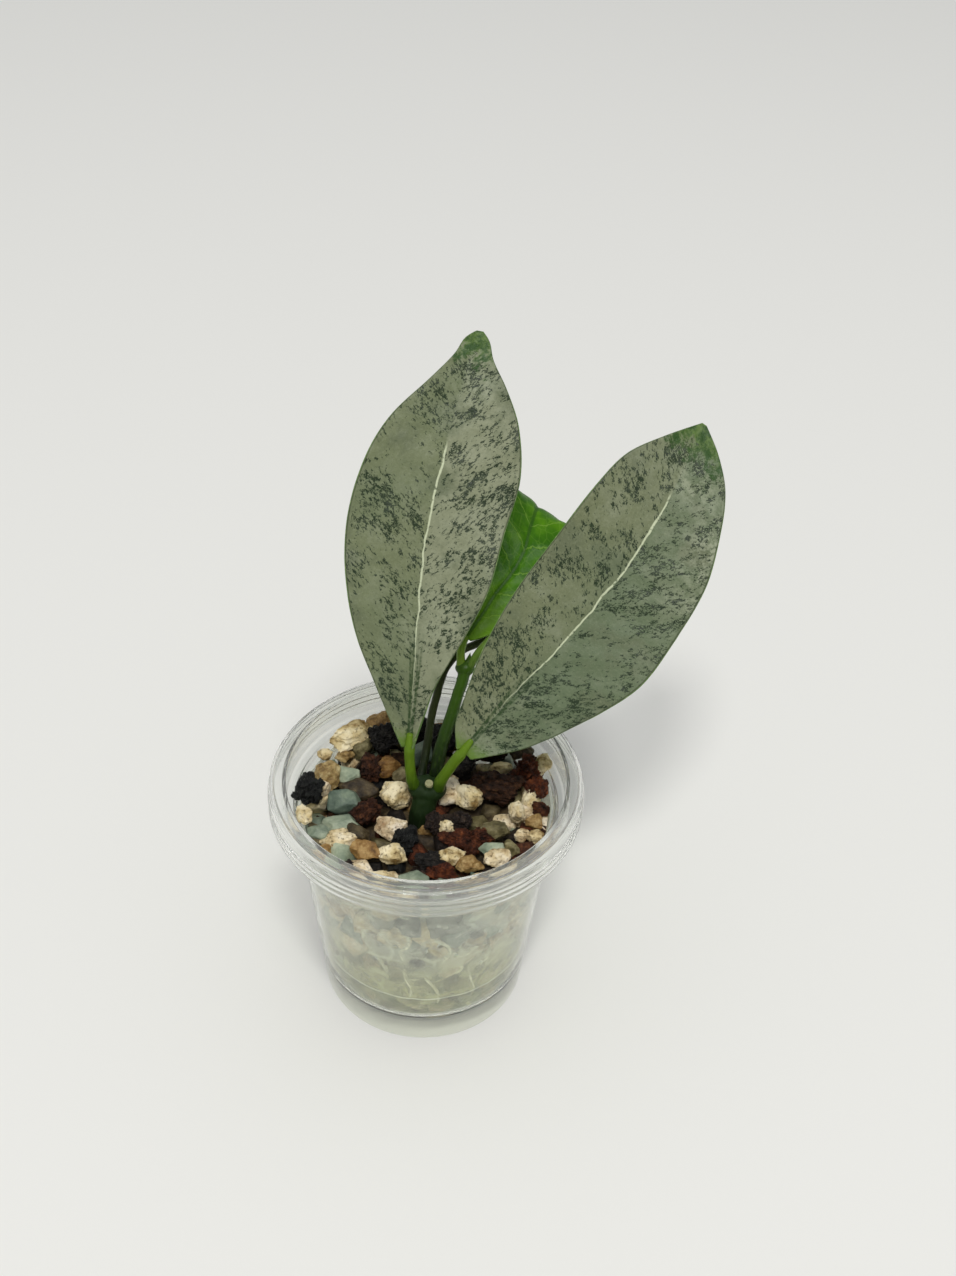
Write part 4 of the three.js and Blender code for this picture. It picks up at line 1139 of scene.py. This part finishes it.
def film_skin():
    """Milky film, greener low down and below the water line, with a painted highlight along the water line,
    and thin around the droplets.
    """
    made, tree, shader = new_material("wall_film")
    place = object_place(tree)
    height = add_node(tree, "ShaderNodeSeparateXYZ", Vector=place).outputs[2]
    cloud = grain(tree, place, 110.0, 5.0, 0.62)
    level = calc(tree, "MULTIPLY_ADD", grain(tree, place, 120.0, 2.0), 0.0012, height)
    above = step_between(tree, level, (WATER_HEIGHT + 0.3) * MM, (WATER_HEIGHT + 0.9) * MM)
    mist = mix_colours(tree, cloud, srgb(208, 214, 184), srgb(240, 241, 226))
    green_mist = mix_colours(tree, cloud, srgb(176, 180, 112), srgb(222, 222, 168))
    damp = turned_off(tree, step_between(tree, level, 20 * MM, 46 * MM))
    mist = mix_colours(tree, damp, mist, green_mist)
    algae_cloud = step_between(tree, grain(tree, place, 260.0, 5.0, 0.7), 0.36, 0.64)
    algae = mix_colours(tree, algae_cloud, srgb(124, 132, 66), srgb(204, 204, 148))
    body = mix_colours(tree, above, algae, mist)
    # Painted highlight: a thin bright line along the water line.
    line = calc(tree, "ABSOLUTE", calc(tree, "SUBTRACT", level, (WATER_HEIGHT + 0.6) * MM))
    line = turned_off(tree, step_between(tree, line, 0.0001, 0.0003))
    body = mix_colours(tree, calc(tree, "MULTIPLY", line, 0.8), body, srgb(244, 246, 226))
    tree.links.new(body, shader.inputs["Base Color"])
    shader.inputs["Roughness"].default_value = 0.55
    cover = calc(tree, "MULTIPLY_ADD", step_between(tree, cloud, 0.36, 0.64), 0.26, 0.12)
    cover = calc(tree, "MULTIPLY_ADD", wet_edges(tree, place), 0.2, cover)
    cover = calc(tree, "MULTIPLY_ADD", turned_off(tree, above), -0.04, cover)
    cover = calc(tree, "MULTIPLY_ADD", damp, 0.06, cover)
    cover = calc(tree, "MULTIPLY_ADD", line, 0.4, cover)
    for x, y, z, size in droplet_places():
        spot = add_node(tree, "ShaderNodeVectorMath", {"operation": "DISTANCE"})
        tree.links.new(place, spot.inputs[0])
        spot.inputs[1].default_value = at(x, y, z)
        clear = step_between(tree, spot.outputs["Value"], size * 0.9 * MM, size * 1.3 * MM)
        cover = calc(tree, "MULTIPLY", cover, calc(tree, "MULTIPLY_ADD", clear, 0.8, 0.2))
    tree.links.new(calc(tree, "MINIMUM", cover, 0.96), shader.inputs["Alpha"])
    return made


def build_water():
    """A little green water on the cup's floor, with a raised edge where it meets the wall."""
    water = spin_profile(
        [
            (0, FLOOR_HEIGHT + 0.1),
            (wall_radius(FLOOR_HEIGHT + 1) - 2.2, FLOOR_HEIGHT + 0.1),
            (wall_radius(WATER_HEIGHT) - CUP_WALL - 0.4, WATER_HEIGHT + 0.6),
            (wall_radius(WATER_HEIGHT) - CUP_WALL - 2.4, WATER_HEIGHT),
            (0, WATER_HEIGHT),
        ],
        96,
    )
    made, tree, shader = clear_plastic("green_water", srgb(222, 230, 196), 0.02, 1.0)
    shader.inputs["IOR"].default_value = 1.33
    raise_surface(tree, shader, grain(tree, object_place(tree), 40.0, 2.0), 0.1, 0.001)
    settle(water, "water", "growing_mix", "stones", made, smooth_angle=50)


# Droplets on the inside of the wall: degrees round the axis, height and radius in mm.
DROPLETS = [
    (-83.5, 38.5, 1.9), (-91, 34.5, 1.8), (-80, 42, 0.8), (-101, 41, 0.7), (-72, 37, 0.6),
    (-65, 45, 0.7), (-112, 33, 0.8), (-58, 30, 0.6), (-124, 45, 0.6), (-48, 40, 0.7),
    (150, 42, 0.9), (95, 36, 1.2), (40, 44, 1), (-160, 38, 0.9), (10, 33, 0.8),
]


DROPLET_DEPTH = 0.45


def droplet_places():
    """Each droplet's middle and size, in mm, just clear of the wall."""
    for degrees, z, size in DROPLETS:
        reach = wall_radius(z) - CUP_WALL - (DROPLET_DEPTH + 0.02) * size
        angle = math.radians(degrees)
        yield reach * math.cos(angle), reach * math.sin(angle), z, size


def build_droplets():
    """Flattened round drops that stand on the wall, each facing outwards."""
    drops = []
    for x, y, z, size in droplet_places():
        deselect()
        bpy.ops.mesh.primitive_uv_sphere_add(segments=24, ring_count=14, radius=size * MM)
        drop = bpy.context.object
        drop.scale = (DROPLET_DEPTH, 1, 1.05)
        drop.rotation_euler = (0, 0, math.atan2(y, x))
        drop.location = at(x, y, z)
        bpy.ops.object.transform_apply(location=True, rotation=True, scale=True)
        drops.append(drop)
    made, tree, shader = clear_plastic("droplet_water", srgb(206, 212, 196), 0.0, 1.0)
    shader.inputs["IOR"].default_value = 1.33
    shader.inputs["Coat Weight"].default_value = 1.0
    shader.inputs["Coat Roughness"].default_value = 0.18
    raise_surface(tree, shader, grain(tree, object_place(tree), 300.0, 2.0), 0.05, 0.0005)
    settle(join_pieces(drops), "droplets", "growing_mix", "stones", made)


# Stones
# For each kind: how many cuts shape the block, how near to and far from its middle they come, how
# often its edges are worn, how high its lumps are, how deep its pores are and how wide, all for a
# stone one unit across.
KINDS = {
    "pumice": (13, 0.36, 0.47, 12, 0.1, 0.03, 0.1),
    "tan": (11, 0.34, 0.46, 4, 0.08, 0.025, 0.12),
    "black_lava": (10, 0.34, 0.46, 5, 0.2, 0.12, 0.11),
    "red_lava": (10, 0.34, 0.46, 5, 0.2, 0.1, 0.1),
    "zeolite": (12, 0.33, 0.46, 1, 0.03, 0.0, 0.1),
    "slate": (11, 0.31, 0.46, 1, 0.06, 0.02, 0.14),
}
STONE_CROWDING = 1.16
STONE_GAP = 0.8
GOLDEN_TURN = 2.39996

# The top stones, by kind: x, y, centre height, width, height, turn in degrees, and tone from 0 to 1.
TOP_STONES = {
    "pumice": [
        (-20.6, 19.5, 65.2, 11.4, 5.4, 28, 0.15), (-27.2, 12.6, 65, 3.6, 3.2, 0, 0.35),
        (-7.8, 1.2, 62, 7.4, 7.6, 10, 0.1), (-8.3, -9.7, 61.8, 7.6, 6, -20, 0.95),
        (-20.6, -14.5, 61.6, 9, 5.5, 15, 0.5), (-7.7, -18.1, 61.6, 7, 5, 0, 0.15),
        (5.6, 3.6, 62, 7, 7, 40, 0.7), (10.4, 2.3, 62, 7, 6.6, -30, 0.25),
        (27, 4, 62, 7, 5, 60, 0.3), (23.2, -2.3, 62, 4.6, 6, 80, 0.45),
        (-30, -9.6, 65, 5, 4, -70, 0.3), (18.4, -18, 61.5, 6.5, 4.2, 30, 0.6),
        (6.8, -18, 61.6, 7, 4.2, 5, 0.3), (-27, 2.6, 62.4, 4.4, 5.4, 20, 0.9),
        (28, -10.3, 61.8, 4.2, 3.8, 0, 0.4), (5.4, -8.2, 61.8, 3.8, 3.2, 0, 0.3),
        (18.9, 13.1, 62.2, 5.4, 4.2, 0, 0.3), (24.5, -10.2, 61.8, 3.6, 3.6, 30, 0.6),
        (-9.5, -26.2, 61.2, 6.8, 4, 10, 0.4), (14.6, -25.6, 61.4, 6.4, 4.2, 30, 0.5),
        (29.4, 12.8, 64.4, 6.4, 6, 60, 0.2),
    ],
    "tan": [
        (-25.8, 7.2, 63.4, 8.4, 7.6, 80, 0), (-10.7, 11.7, 62.4, 6.8, 5.2, 20, 1),
        (-14.2, -17.5, 61.6, 7.5, 4.8, -15, 0.8), (-22.2, 14.7, 62.6, 4.6, 4, 0, 0.2),
        (11.8, -20, 61.4, 6.4, 3.8, 0, 0.5), (27.5, -5.6, 61.8, 4, 3.8, 0, 0.4),
        (-24.5, -18.4, 61.4, 5.4, 3.8, 40, 0.7), (22.6, -20.6, 61.2, 5.4, 4, 45, 0.3),
        (-14.2, 27, 64.2, 7.4, 6, 20, 0.4),
    ],
    "black_lava": [
        (-30, 0.2, 65.2, 8.8, 8.6, 85, 0), (-12.4, 20, 64.6, 8, 10, 30, 0.2),
        (-4.4, -12.9, 61.8, 7.5, 7.4, 50, 0), (3.1, 20.5, 64.6, 8, 9.6, 0, 0.1),
        (-4.2, 25.4, 64.4, 9, 8, -10, 0.2), (2.1, -7.1, 61.8, 5.6, 5.6, 70, 0.9),
        (2, -19.9, 61.6, 7.4, 4.6, -10, 0.3), (9.4, -6.6, 61.9, 5.6, 6.2, 80, 0.8),
        (8.6, 12.4, 62.8, 6.8, 6, 10, 0.3), (9.8, 27, 64.2, 8, 7, 15, 0.4),
        (-17.4, -23.6, 61.2, 6.2, 4, -40, 0.6), (1.8, 11.2, 62, 5.4, 5, 30, 0.1),
    ],
    "red_lava": [
        (25, 10.6, 64, 8.6, 8.6, 40, 0.8), (28.2, 5.4, 63.2, 7, 7.2, 70, 0.9),
        (18, 5.3, 62.6, 12.4, 8.2, -10, 0.15), (14, -10.8, 61.7, 6.6, 4.2, 0, 0.7),
        (8.1, -12.2, 61.7, 8.4, 4.4, -10, 0.8), (12.1, -15.3, 61.6, 4.4, 4.2, 70, 0.7),
        (5, -22.6, 61.4, 7, 3.8, 0, 1), (-14.8, 10.7, 62.6, 6.8, 7.2, 60, 0.3),
        (15.9, 17.5, 63.4, 9, 6, 20, 0), (-15.3, -4.6, 62, 7.7, 7.2, 60, 0.35),
        (7, -28, 61.2, 6, 4, -10, 0.6), (29.4, -0.6, 61.6, 4.4, 4, 0, 0.5),
    ],
    "zeolite": [
        (-21, 7.3, 62.4, 7.3, 5, -40, 0.05), (-20.4, -1.3, 62, 8.2, 5.8, 0, 0.95),
        (-20.9, -9.1, 61.8, 8.6, 3.8, -5, 0.3), (-26.1, -12.5, 61.9, 5.2, 4.2, 0, 0.7),
        (17.1, -15.4, 61.5, 6, 3.4, 0, 0.1), (-1.8, 16.4, 63.2, 6.2, 7.4, 80, 0.9),
        (-1.6, -25.6, 61.4, 6.6, 3.8, 0, 0.4),
    ],
    "slate": [
        (-17.8, 3.1, 62.2, 9.4, 4.6, -5, 0), (-17.5, 17, 63.4, 5.6, 6, 40, 0.75),
        (-16.9, -12, 61.8, 6.8, 5, -40, 0.1), (17.7, -8.9, 61.9, 6.8, 5.2, 15, 0.85),
        (22, -14.6, 61.6, 4.8, 4, -30, 1), (23.6, 18.6, 64.6, 7, 5, -30, 0),
        (-6.2, 8.8, 62, 5.6, 4.6, 0, 0.6), (17.4, 25.6, 64.2, 7, 6, -30, 0.3),
    ],
}


def room_radius(z):
    """How far out stones may reach at a height, clear of the cup's wall and ledge."""
    if z < LEDGE_HEIGHT - 0.9:
        return wall_radius(max(z, FLOOR_HEIGHT + 1)) - CUP_WALL - STONE_GAP
    at_ledge = wall_radius(LEDGE_HEIGHT) - CUP_WALL - STONE_GAP
    return min(RIM_WALL - 0.5, at_ledge + (z - LEDGE_HEIGHT + 0.9) * 1.6)


def cut_block(luck, cuts, near, far):
    """A block a unit across, broken flat on many sides."""
    deselect()
    bpy.ops.mesh.primitive_cube_add(size=1)
    block = bpy.context.object
    bpy.ops.object.mode_set(mode="EDIT")
    for k in range(cuts):
        height = 1 - 2 * (k + 0.5) / cuts
        angle = k * 2.4 + luck.uniform(-0.6, 0.6)
        ring = math.sqrt(1 - height * height)
        facing = Vector((ring * math.cos(angle), ring * math.sin(angle), height + luck.uniform(-0.2, 0.2)))
        facing.normalize()
        bpy.ops.mesh.select_all(action="SELECT")
        bpy.ops.mesh.bisect(
            plane_co=facing * luck.uniform(near, far),
            plane_no=facing,
            use_fill=True,
            clear_outer=True,
        )
    bpy.ops.object.mode_set(mode="OBJECT")
    return block


def worn_form(kind, luck):
    """A close-up stone: a cut block with worn edges, lumps and pores."""
    cuts, near, far, wear, lump_height, pore_depth, pore_size = KINDS[kind]
    form = cut_block(luck, cuts, near, far)
    apply_modifier(form, "REMESH", mode="VOXEL", voxel_size=0.042)
    apply_modifier(form, "SMOOTH", factor=0.5, iterations=wear)
    lumps = bpy.data.textures.new(kind + "_lumps", "CLOUDS")
    lumps.noise_scale = 0.34
    apply_modifier(form, "DISPLACE", texture=lumps, strength=lump_height * 2, texture_coords="LOCAL")
    if pore_depth:
        pores = bpy.data.textures.new(kind + "_pores", "VORONOI")
        pores.noise_scale = pore_size
        apply_modifier(form, "DISPLACE", texture=pores, strength=pore_depth * 2, texture_coords="LOCAL")
    return fit_unit(form)


def rough_form(kind, luck):
    """A stone behind the wall: a cut block with its edges knocked off, of a few dozen faces."""
    form = cut_block(luck, 9, KINDS[kind][1], KINDS[kind][2])
    apply_modifier(form, "BEVEL", width=0.05, segments=1, limit_method="ANGLE", angle_limit=0.4)
    return fit_unit(form)


def fit_unit(form):
    """Stretches a form to fill one unit each way, about its middle, and takes it out of the scene."""
    points = [vertex.co for vertex in form.data.vertices]
    low = Vector([min(p[k] for p in points) for k in range(3)])
    high = Vector([max(p[k] for p in points) for k in range(3)])
    size = high - low
    for vertex in form.data.vertices:
        vertex.co = Vector([(vertex.co[k] - (low[k] + high[k]) / 2) / size[k] for k in range(3)])
    mesh = form.data
    bpy.data.objects.remove(form)
    return mesh


def set_stone(form, luck, place, size, turn, tone):
    """A copy of a form, rolled onto a side, stretched to its size and set in place."""
    quarter = math.pi / 2
    tip = Matrix.Rotation(quarter * luck.randrange(4), 4, "X")
    roll = tip @ Matrix.Rotation(quarter * luck.randrange(4), 4, "Z")
    lean = Matrix.Rotation(math.radians(turn), 4, "Z") @ Matrix.Rotation(luck.uniform(-0.25, 0.25), 4, "X")
    mesh = form.copy()
    mesh.transform(Matrix.Translation(at(*place)) @ lean @ Matrix.Diagonal((*(Vector(size) * MM), 1)) @ roll)
    stone = bpy.data.objects.new("stone", mesh)
    bpy.context.scene.collection.objects.link(stone)
    keep_inside(stone, max(size) * MM)
    shade = mesh.attributes.new("tone", "FLOAT", "POINT")
    shade.data.foreach_set("value", [tone] * len(mesh.vertices))
    return stone


def keep_inside(piece, spread):
    """Presses what would pass the cup's wall flat against it."""
    for vertex in piece.data.vertices:
        off = vertex.co - AXIS
        limit = room_radius(off.z / MM) * MM
        reach = math.hypot(off.x, off.y)
        if reach > limit:
            share = (limit - 0.04 * min(reach - limit, spread)) / reach
            vertex.co.x = AXIS.x + off.x * share
            vertex.co.y = AXIS.y + off.y * share
        vertex.co.z = max(vertex.co.z, (FLOOR_HEIGHT + 0.35) * MM)


def side_stones(luck):
    """Stones packed behind the wall, row on row from the floor to the bed, with their kinds."""
    names = list(KINDS)
    weights = (6, 2, 1, 1, 7, 3)
    found = []
    count = 23
    z = FLOOR_HEIGHT + 3.4
    while z < BED_HEIGHT - 1:
        start = luck.random()
        for i in range(count):
            angle = 2 * math.pi * (i + start + luck.uniform(-0.25, 0.25)) / count
            width = luck.uniform(6.4, 10)
            height = luck.uniform(0.62, 0.95) * width
            reach = room_radius(z) - luck.uniform(0.25, 0.45) * width
            place = (reach * math.cos(angle), reach * math.sin(angle), z + luck.uniform(-1.6, 1.6))
            kind = luck.choices(names, weights)[0]
            found.append((kind, place, (width, width * 0.85, height), luck.uniform(0, 360)))
        z += 5
    return found


def bed_stones(luck):
    """Small stones, mostly of the dark kinds, that fill the bed between the top ones; their darkness is
    partly their own colour and partly painted shade in the gaps.
    """
    found = []
    count = 72
    for i in range(count):
        angle = i * GOLDEN_TURN
        reach = 30.5 * math.sqrt((i + 0.5) / count)
        width = luck.uniform(4.6, 7)
        place = (reach * math.cos(angle), reach * math.sin(angle), BED_HEIGHT - luck.uniform(1.6, 3.4))
        # Mostly dark kinds: partly their own colour, partly painted shade in the gaps between the top stones.
        kind = luck.choices(list(KINDS), (1, 1, 6, 5, 0, 5))[0]
        found.append((kind, place, (width, width * 0.85, width * 0.75), luck.uniform(0, 360)))
    return found


def pumice_skin():
    """Cream pumice, from yellowish to pinkish, with fine brown pores and warm veins."""
    made, tree, shader = new_material("pumice")
    place = object_place(tree)
    tone = add_node(tree, "ShaderNodeAttribute", {"attribute_name": "tone"}).outputs["Fac"]
    cloud = grain(tree, place, 210.0, 4.0, 0.62)
    yellows = (srgb(142, 116, 68), srgb(218, 198, 148), srgb(246, 233, 196))
    pinks = (srgb(158, 128, 92), srgb(224, 204, 166), srgb(248, 236, 212))
    yellow = colour_ramp(tree, cloud, list(zip((0.34, 0.47, 0.62), yellows)))
    pink = colour_ramp(tree, cloud, list(zip((0.34, 0.48, 0.62), pinks)))
    body = mix_colours(tree, step_between(tree, tone, 0.2, 0.9), yellow, pink)
    pores = step_between(tree, grain(tree, place, 1300.0, 3.0, 0.65), 0.58, 0.68)
    body = mix_colours(tree, calc(tree, "MULTIPLY", pores, 0.6), body, srgb(112, 84, 50))
    veins = step_between(tree, grain(tree, place, 380.0, 5.0, 0.7, 1.2), 0.58, 0.66)
    body = mix_colours(tree, calc(tree, "MULTIPLY", veins, 0.45), body, srgb(138, 104, 58))
    tree.links.new(body, shader.inputs["Base Color"])
    shader.inputs["Roughness"].default_value = 0.8
    shader.inputs["Specular IOR Level"].default_value = 0.25
    relief = calc(tree, "MULTIPLY_ADD", pores, -0.8, grain(tree, place, 800.0, 5.0, 0.7))
    raise_surface(tree, shader, relief, 0.8, 0.0007)
    return made


def mottled_stone(name, first, second, flaws, roughness, scale, bump, gloss=0.4):
    """A stone skin that runs from one set of mottled colours to another with the stone's own tone."""
    made, tree, shader = new_material(name)
    place = object_place(tree)
    tone = add_node(tree, "ShaderNodeAttribute", {"attribute_name": "tone"}).outputs["Fac"]
    cloud = grain(tree, place, scale, 5.0, 0.7)
    one = colour_ramp(tree, cloud, list(zip((0.34, 0.5, 0.68), first)))
    other = colour_ramp(tree, cloud, list(zip((0.34, 0.5, 0.68), second)))
    body = mix_colours(tree, tone, one, other)
    specks = step_between(tree, grain(tree, place, 1500.0, 3.0, 0.7), 0.6, 0.7)
    body = mix_colours(tree, calc(tree, "MULTIPLY", specks, 0.5), body, flaws)
    tree.links.new(body, shader.inputs["Base Color"])
    shader.inputs["Roughness"].default_value = roughness
    shader.inputs["Specular IOR Level"].default_value = gloss
    rough = calc(tree, "MULTIPLY_ADD", specks, -0.5, grain(tree, place, 900.0, 6.0, 0.75))
    raise_surface(tree, shader, rough, bump, 0.0008)
    return made


def stone_skins():
    """The skin of each kind: its mottled colours at the one end of its tone and at the other."""
    return {
        "pumice": pumice_skin(),
        "tan": mottled_stone(
            "tan_stone",
            (srgb(80, 58, 28), srgb(156, 130, 80), srgb(212, 194, 144)),
            (srgb(80, 52, 22), srgb(140, 102, 50), srgb(188, 152, 94)),
            srgb(84, 52, 24), 0.55, 300.0, 0.5,
        ),
        "black_lava": mottled_stone(
            "black_lava",
            (srgb(6, 7, 7), srgb(18, 20, 19), srgb(46, 48, 44)),
            (srgb(18, 11, 8), srgb(40, 28, 22), srgb(74, 56, 42)),
            srgb(3, 3, 3), 0.5, 700.0, 1.0, 0.35,
        ),
        "red_lava": mottled_stone(
            "red_lava",
            (srgb(14, 9, 5), srgb(44, 29, 18), srgb(84, 60, 38)),
            (srgb(30, 12, 5), srgb(82, 38, 18), srgb(138, 76, 42)),
            srgb(22, 10, 7), 0.6, 520.0, 1.0, 0.25,
        ),
        "zeolite": mottled_stone(
            "zeolite",
            (srgb(120, 134, 112), srgb(152, 163, 138), srgb(192, 198, 170)),
            (srgb(58, 74, 64), srgb(88, 104, 90), srgb(126, 140, 118)),
            srgb(92, 108, 92), 0.42, 200.0, 0.3,
        ),
        "slate": mottled_stone(
            "slate",
            (srgb(32, 25, 16), srgb(62, 51, 34), srgb(104, 90, 62)),
            (srgb(80, 74, 46), srgb(122, 114, 78), srgb(162, 154, 114)),
            srgb(34, 27, 18), 0.45, 330.0, 0.5, 0.3,
        ),
    }


def build_stones():
    """The stones of the bed, those behind the wall, and the dark heart that fills the rest."""
    luck = random.Random(41)
    skins = stone_skins()
    worn = {kind: [worn_form(kind, luck) for _ in range(4)] for kind in KINDS}
    rough = {kind: [rough_form(kind, luck) for _ in range(3)] for kind in KINDS}
    by_kind = {kind: [] for kind in KINDS}
    for kind, rows in TOP_STONES.items():
        for i, (x, y, z, shown, height, turn, tone) in enumerate(rows):
            width = shown * STONE_CROWDING
            size = (width, 0.4 * width + 0.45 * height, height * 1.04)
            by_kind[kind].append(set_stone(worn[kind][i % 4], luck, (x, y, z), size, turn, tone))
    for kind, place, size, turn in side_stones(luck) + bed_stones(luck):
        form = rough[kind][luck.randrange(3)]
        by_kind[kind].append(set_stone(form, luck, place, size, turn, luck.random()))
    for kind, pieces in by_kind.items():
        body = join_pieces(pieces)
        settle(body, "stones_" + kind, "growing_mix", "stones", skins[kind], smooth_angle=40)
    build_heart(skins["slate"])


def build_heart(skin):
    """A lumpy dark core that closes the gaps between the stones that show; its darkness partly stands for
    painted shade deep in the gaps.
    """
    deselect()
    bpy.ops.mesh.primitive_cylinder_add(
        vertices=64, radius=25 * MM, depth=45 * MM, location=at(0, 0, FLOOR_HEIGHT + 24.5)
    )
    heart = bpy.context.object
    apply_modifier(heart, "REMESH", mode="VOXEL", voxel_size=1.2 * MM)
    swell(heart, 1.6, 3.8)
    # The dark slate skin here is partly painted shade deep in the gaps.
    settle(heart, "stones_inside", "growing_mix", "stones", skin)


# Roots
ROOT_CROWN = (-2.2, -2.6, 42.3)

# The fine ones that press on the wall: degrees round the axis, height, and depth in mm.
WALL_ROOT_RADIUS = 0.5
WALL_ROOTS = [
    [(-83, 43, 1.6), (-80, 42.2, 0.6), (-77, 40.5, 0.45), (-76, 37, 0.45), (-79, 33.5, 0.45), (-78, 30, 0.8)],
    [(-78, 36.5, 0.9), (-74, 36.8, 0.5), (-69, 35.6, 0.45), (-64, 36.4, 0.45), (-56, 37.8, 0.8)],
    [(-86, 30, 1.2), (-85, 27, 0.45), (-82, 24, 0.45), (-80.5, 20, 0.45), (-81, 16, 0.45), (-84, 13.6, 0.8)],
    [(-97, 29, 1.2), (-96, 26, 0.45), (-95, 22, 0.45), (-96, 18, 0.45), (-98, 16, 0.8)],
    [(-62, 29, 1.2), (-63, 26, 0.45), (-62.5, 22, 0.45), (-61, 18.6, 0.45), (-59, 13.4, 0.8)],
    [(-75, 31, 1), (-71, 31.6, 0.5), (-67, 30, 0.45), (-70, 28, 0.45), (-74, 28.4, 0.9)],
    [(-97, 45, 1), (-95, 41.5, 0.45), (-98, 38, 0.45), (-96, 34.5, 0.45), (-98, 32, 0.9)],
    [(-52, 33, 1.1), (-55, 30.5, 0.45), (-60, 29.4, 0.45), (-64, 30, 0.9)],
    [(160, 40, 1.2), (157, 36, 0.5), (161, 32, 0.45), (158, 27, 0.45), (163, 22, 0.9)],
    [(52, 44, 1.2), (55, 40, 0.5), (51, 35, 0.45), (54, 30, 0.45), (50, 26, 0.9)],
    [(4, 38, 1.2), (8, 35, 0.5), (5, 30, 0.45), (9, 25, 0.45), (6, 20, 0.9)],
]


def root_skin():
    made, tree, shader = new_material("root_skin")
    fuzz = grain(tree, object_place(tree), 900.0, 4.0, 0.7)
    cream = colour_ramp(tree, fuzz, [(0.3, srgb(196, 195, 158)), (0.7, srgb(228, 227, 198))])
    tree.links.new(cream, shader.inputs["Base Color"])
    shader.inputs["Roughness"].default_value = 0.7
    return made


def deep_roots():
    """Strands that wander out from the crown to the wall and down it, by the rule of the solids."""
    draw = draws(5)
    crown_x, crown_y, crown = ROOT_CROWN
    count, points, thick = 6, 8, 0.8
    off_wall = 0.9 + thick
    inmost = 0.8
    strands = []
    for i in range(count):
        start = (i + 0.35 * draw()) / count * 2 * math.pi
        wander = (draw() - 0.5) * 1.5
        drop = FLOOR_HEIGHT + 2.6 + 12 * draw()
        level = crown - 4 + 8 * draw()
        path = []
        for k in range(points):
            t = k / (points - 1)
            share = min(t / 0.45, 1)
            out = share * share * (3 - 2 * share)
            if t < 0.45:
                height = crown - 2 + (level - crown) * out
            else:
                height = level - 2 + (drop - level + 2) * min((t - 0.4) / 0.6, 1)
            outmost = wall_radius(height) - CUP_WALL - off_wall
            reach = inmost + (outmost - inmost) * out
            angle = start + wander * t + 0.16 * math.sin(7 * t + 2 * i)
            x = crown_x * (1 - out) + reach * math.cos(angle)
            y = crown_y * (1 - out) + reach * math.sin(angle)
            path.append((x, y, height))
        radii = [thick * (1.25 - 0.55 * k / (points - 1)) for k in range(points)]
        strands.append(limb(path, radii, sides=12, steps=8))
    return strands


def wall_roots():
    """Fine strands that press on the wall, with a small sway."""
    strands = []
    for path in WALL_ROOTS:
        points = []
        for k, (degrees, z, off) in enumerate(path):
            reach = wall_radius(z) - CUP_WALL - off - WALL_ROOT_RADIUS
            angle = math.radians(degrees + 1.3 * math.sin(2.6 * k + z))
            points.append((reach * math.cos(angle), reach * math.sin(angle), z))
        radii = [WALL_ROOT_RADIUS] * (len(points) - 1) + [0.2]
        strands.append(limb(points, radii, sides=12, steps=6))
    return strands


def build_roots():
    """The crown of the roots and all the strands that start from it, as one piece."""
    x, y, height = ROOT_CROWN
    crown = knot((x, y, height - 2.8), (3, 3, 2.9))
    body = join_pieces([crown] + deep_roots() + wall_roots())
    settle(body, "root_strands", "roots", "root", root_skin())


add_camera()
build_plant()
build_cup()
build_wet_inside()
build_stones()
build_roots()
add_stage()
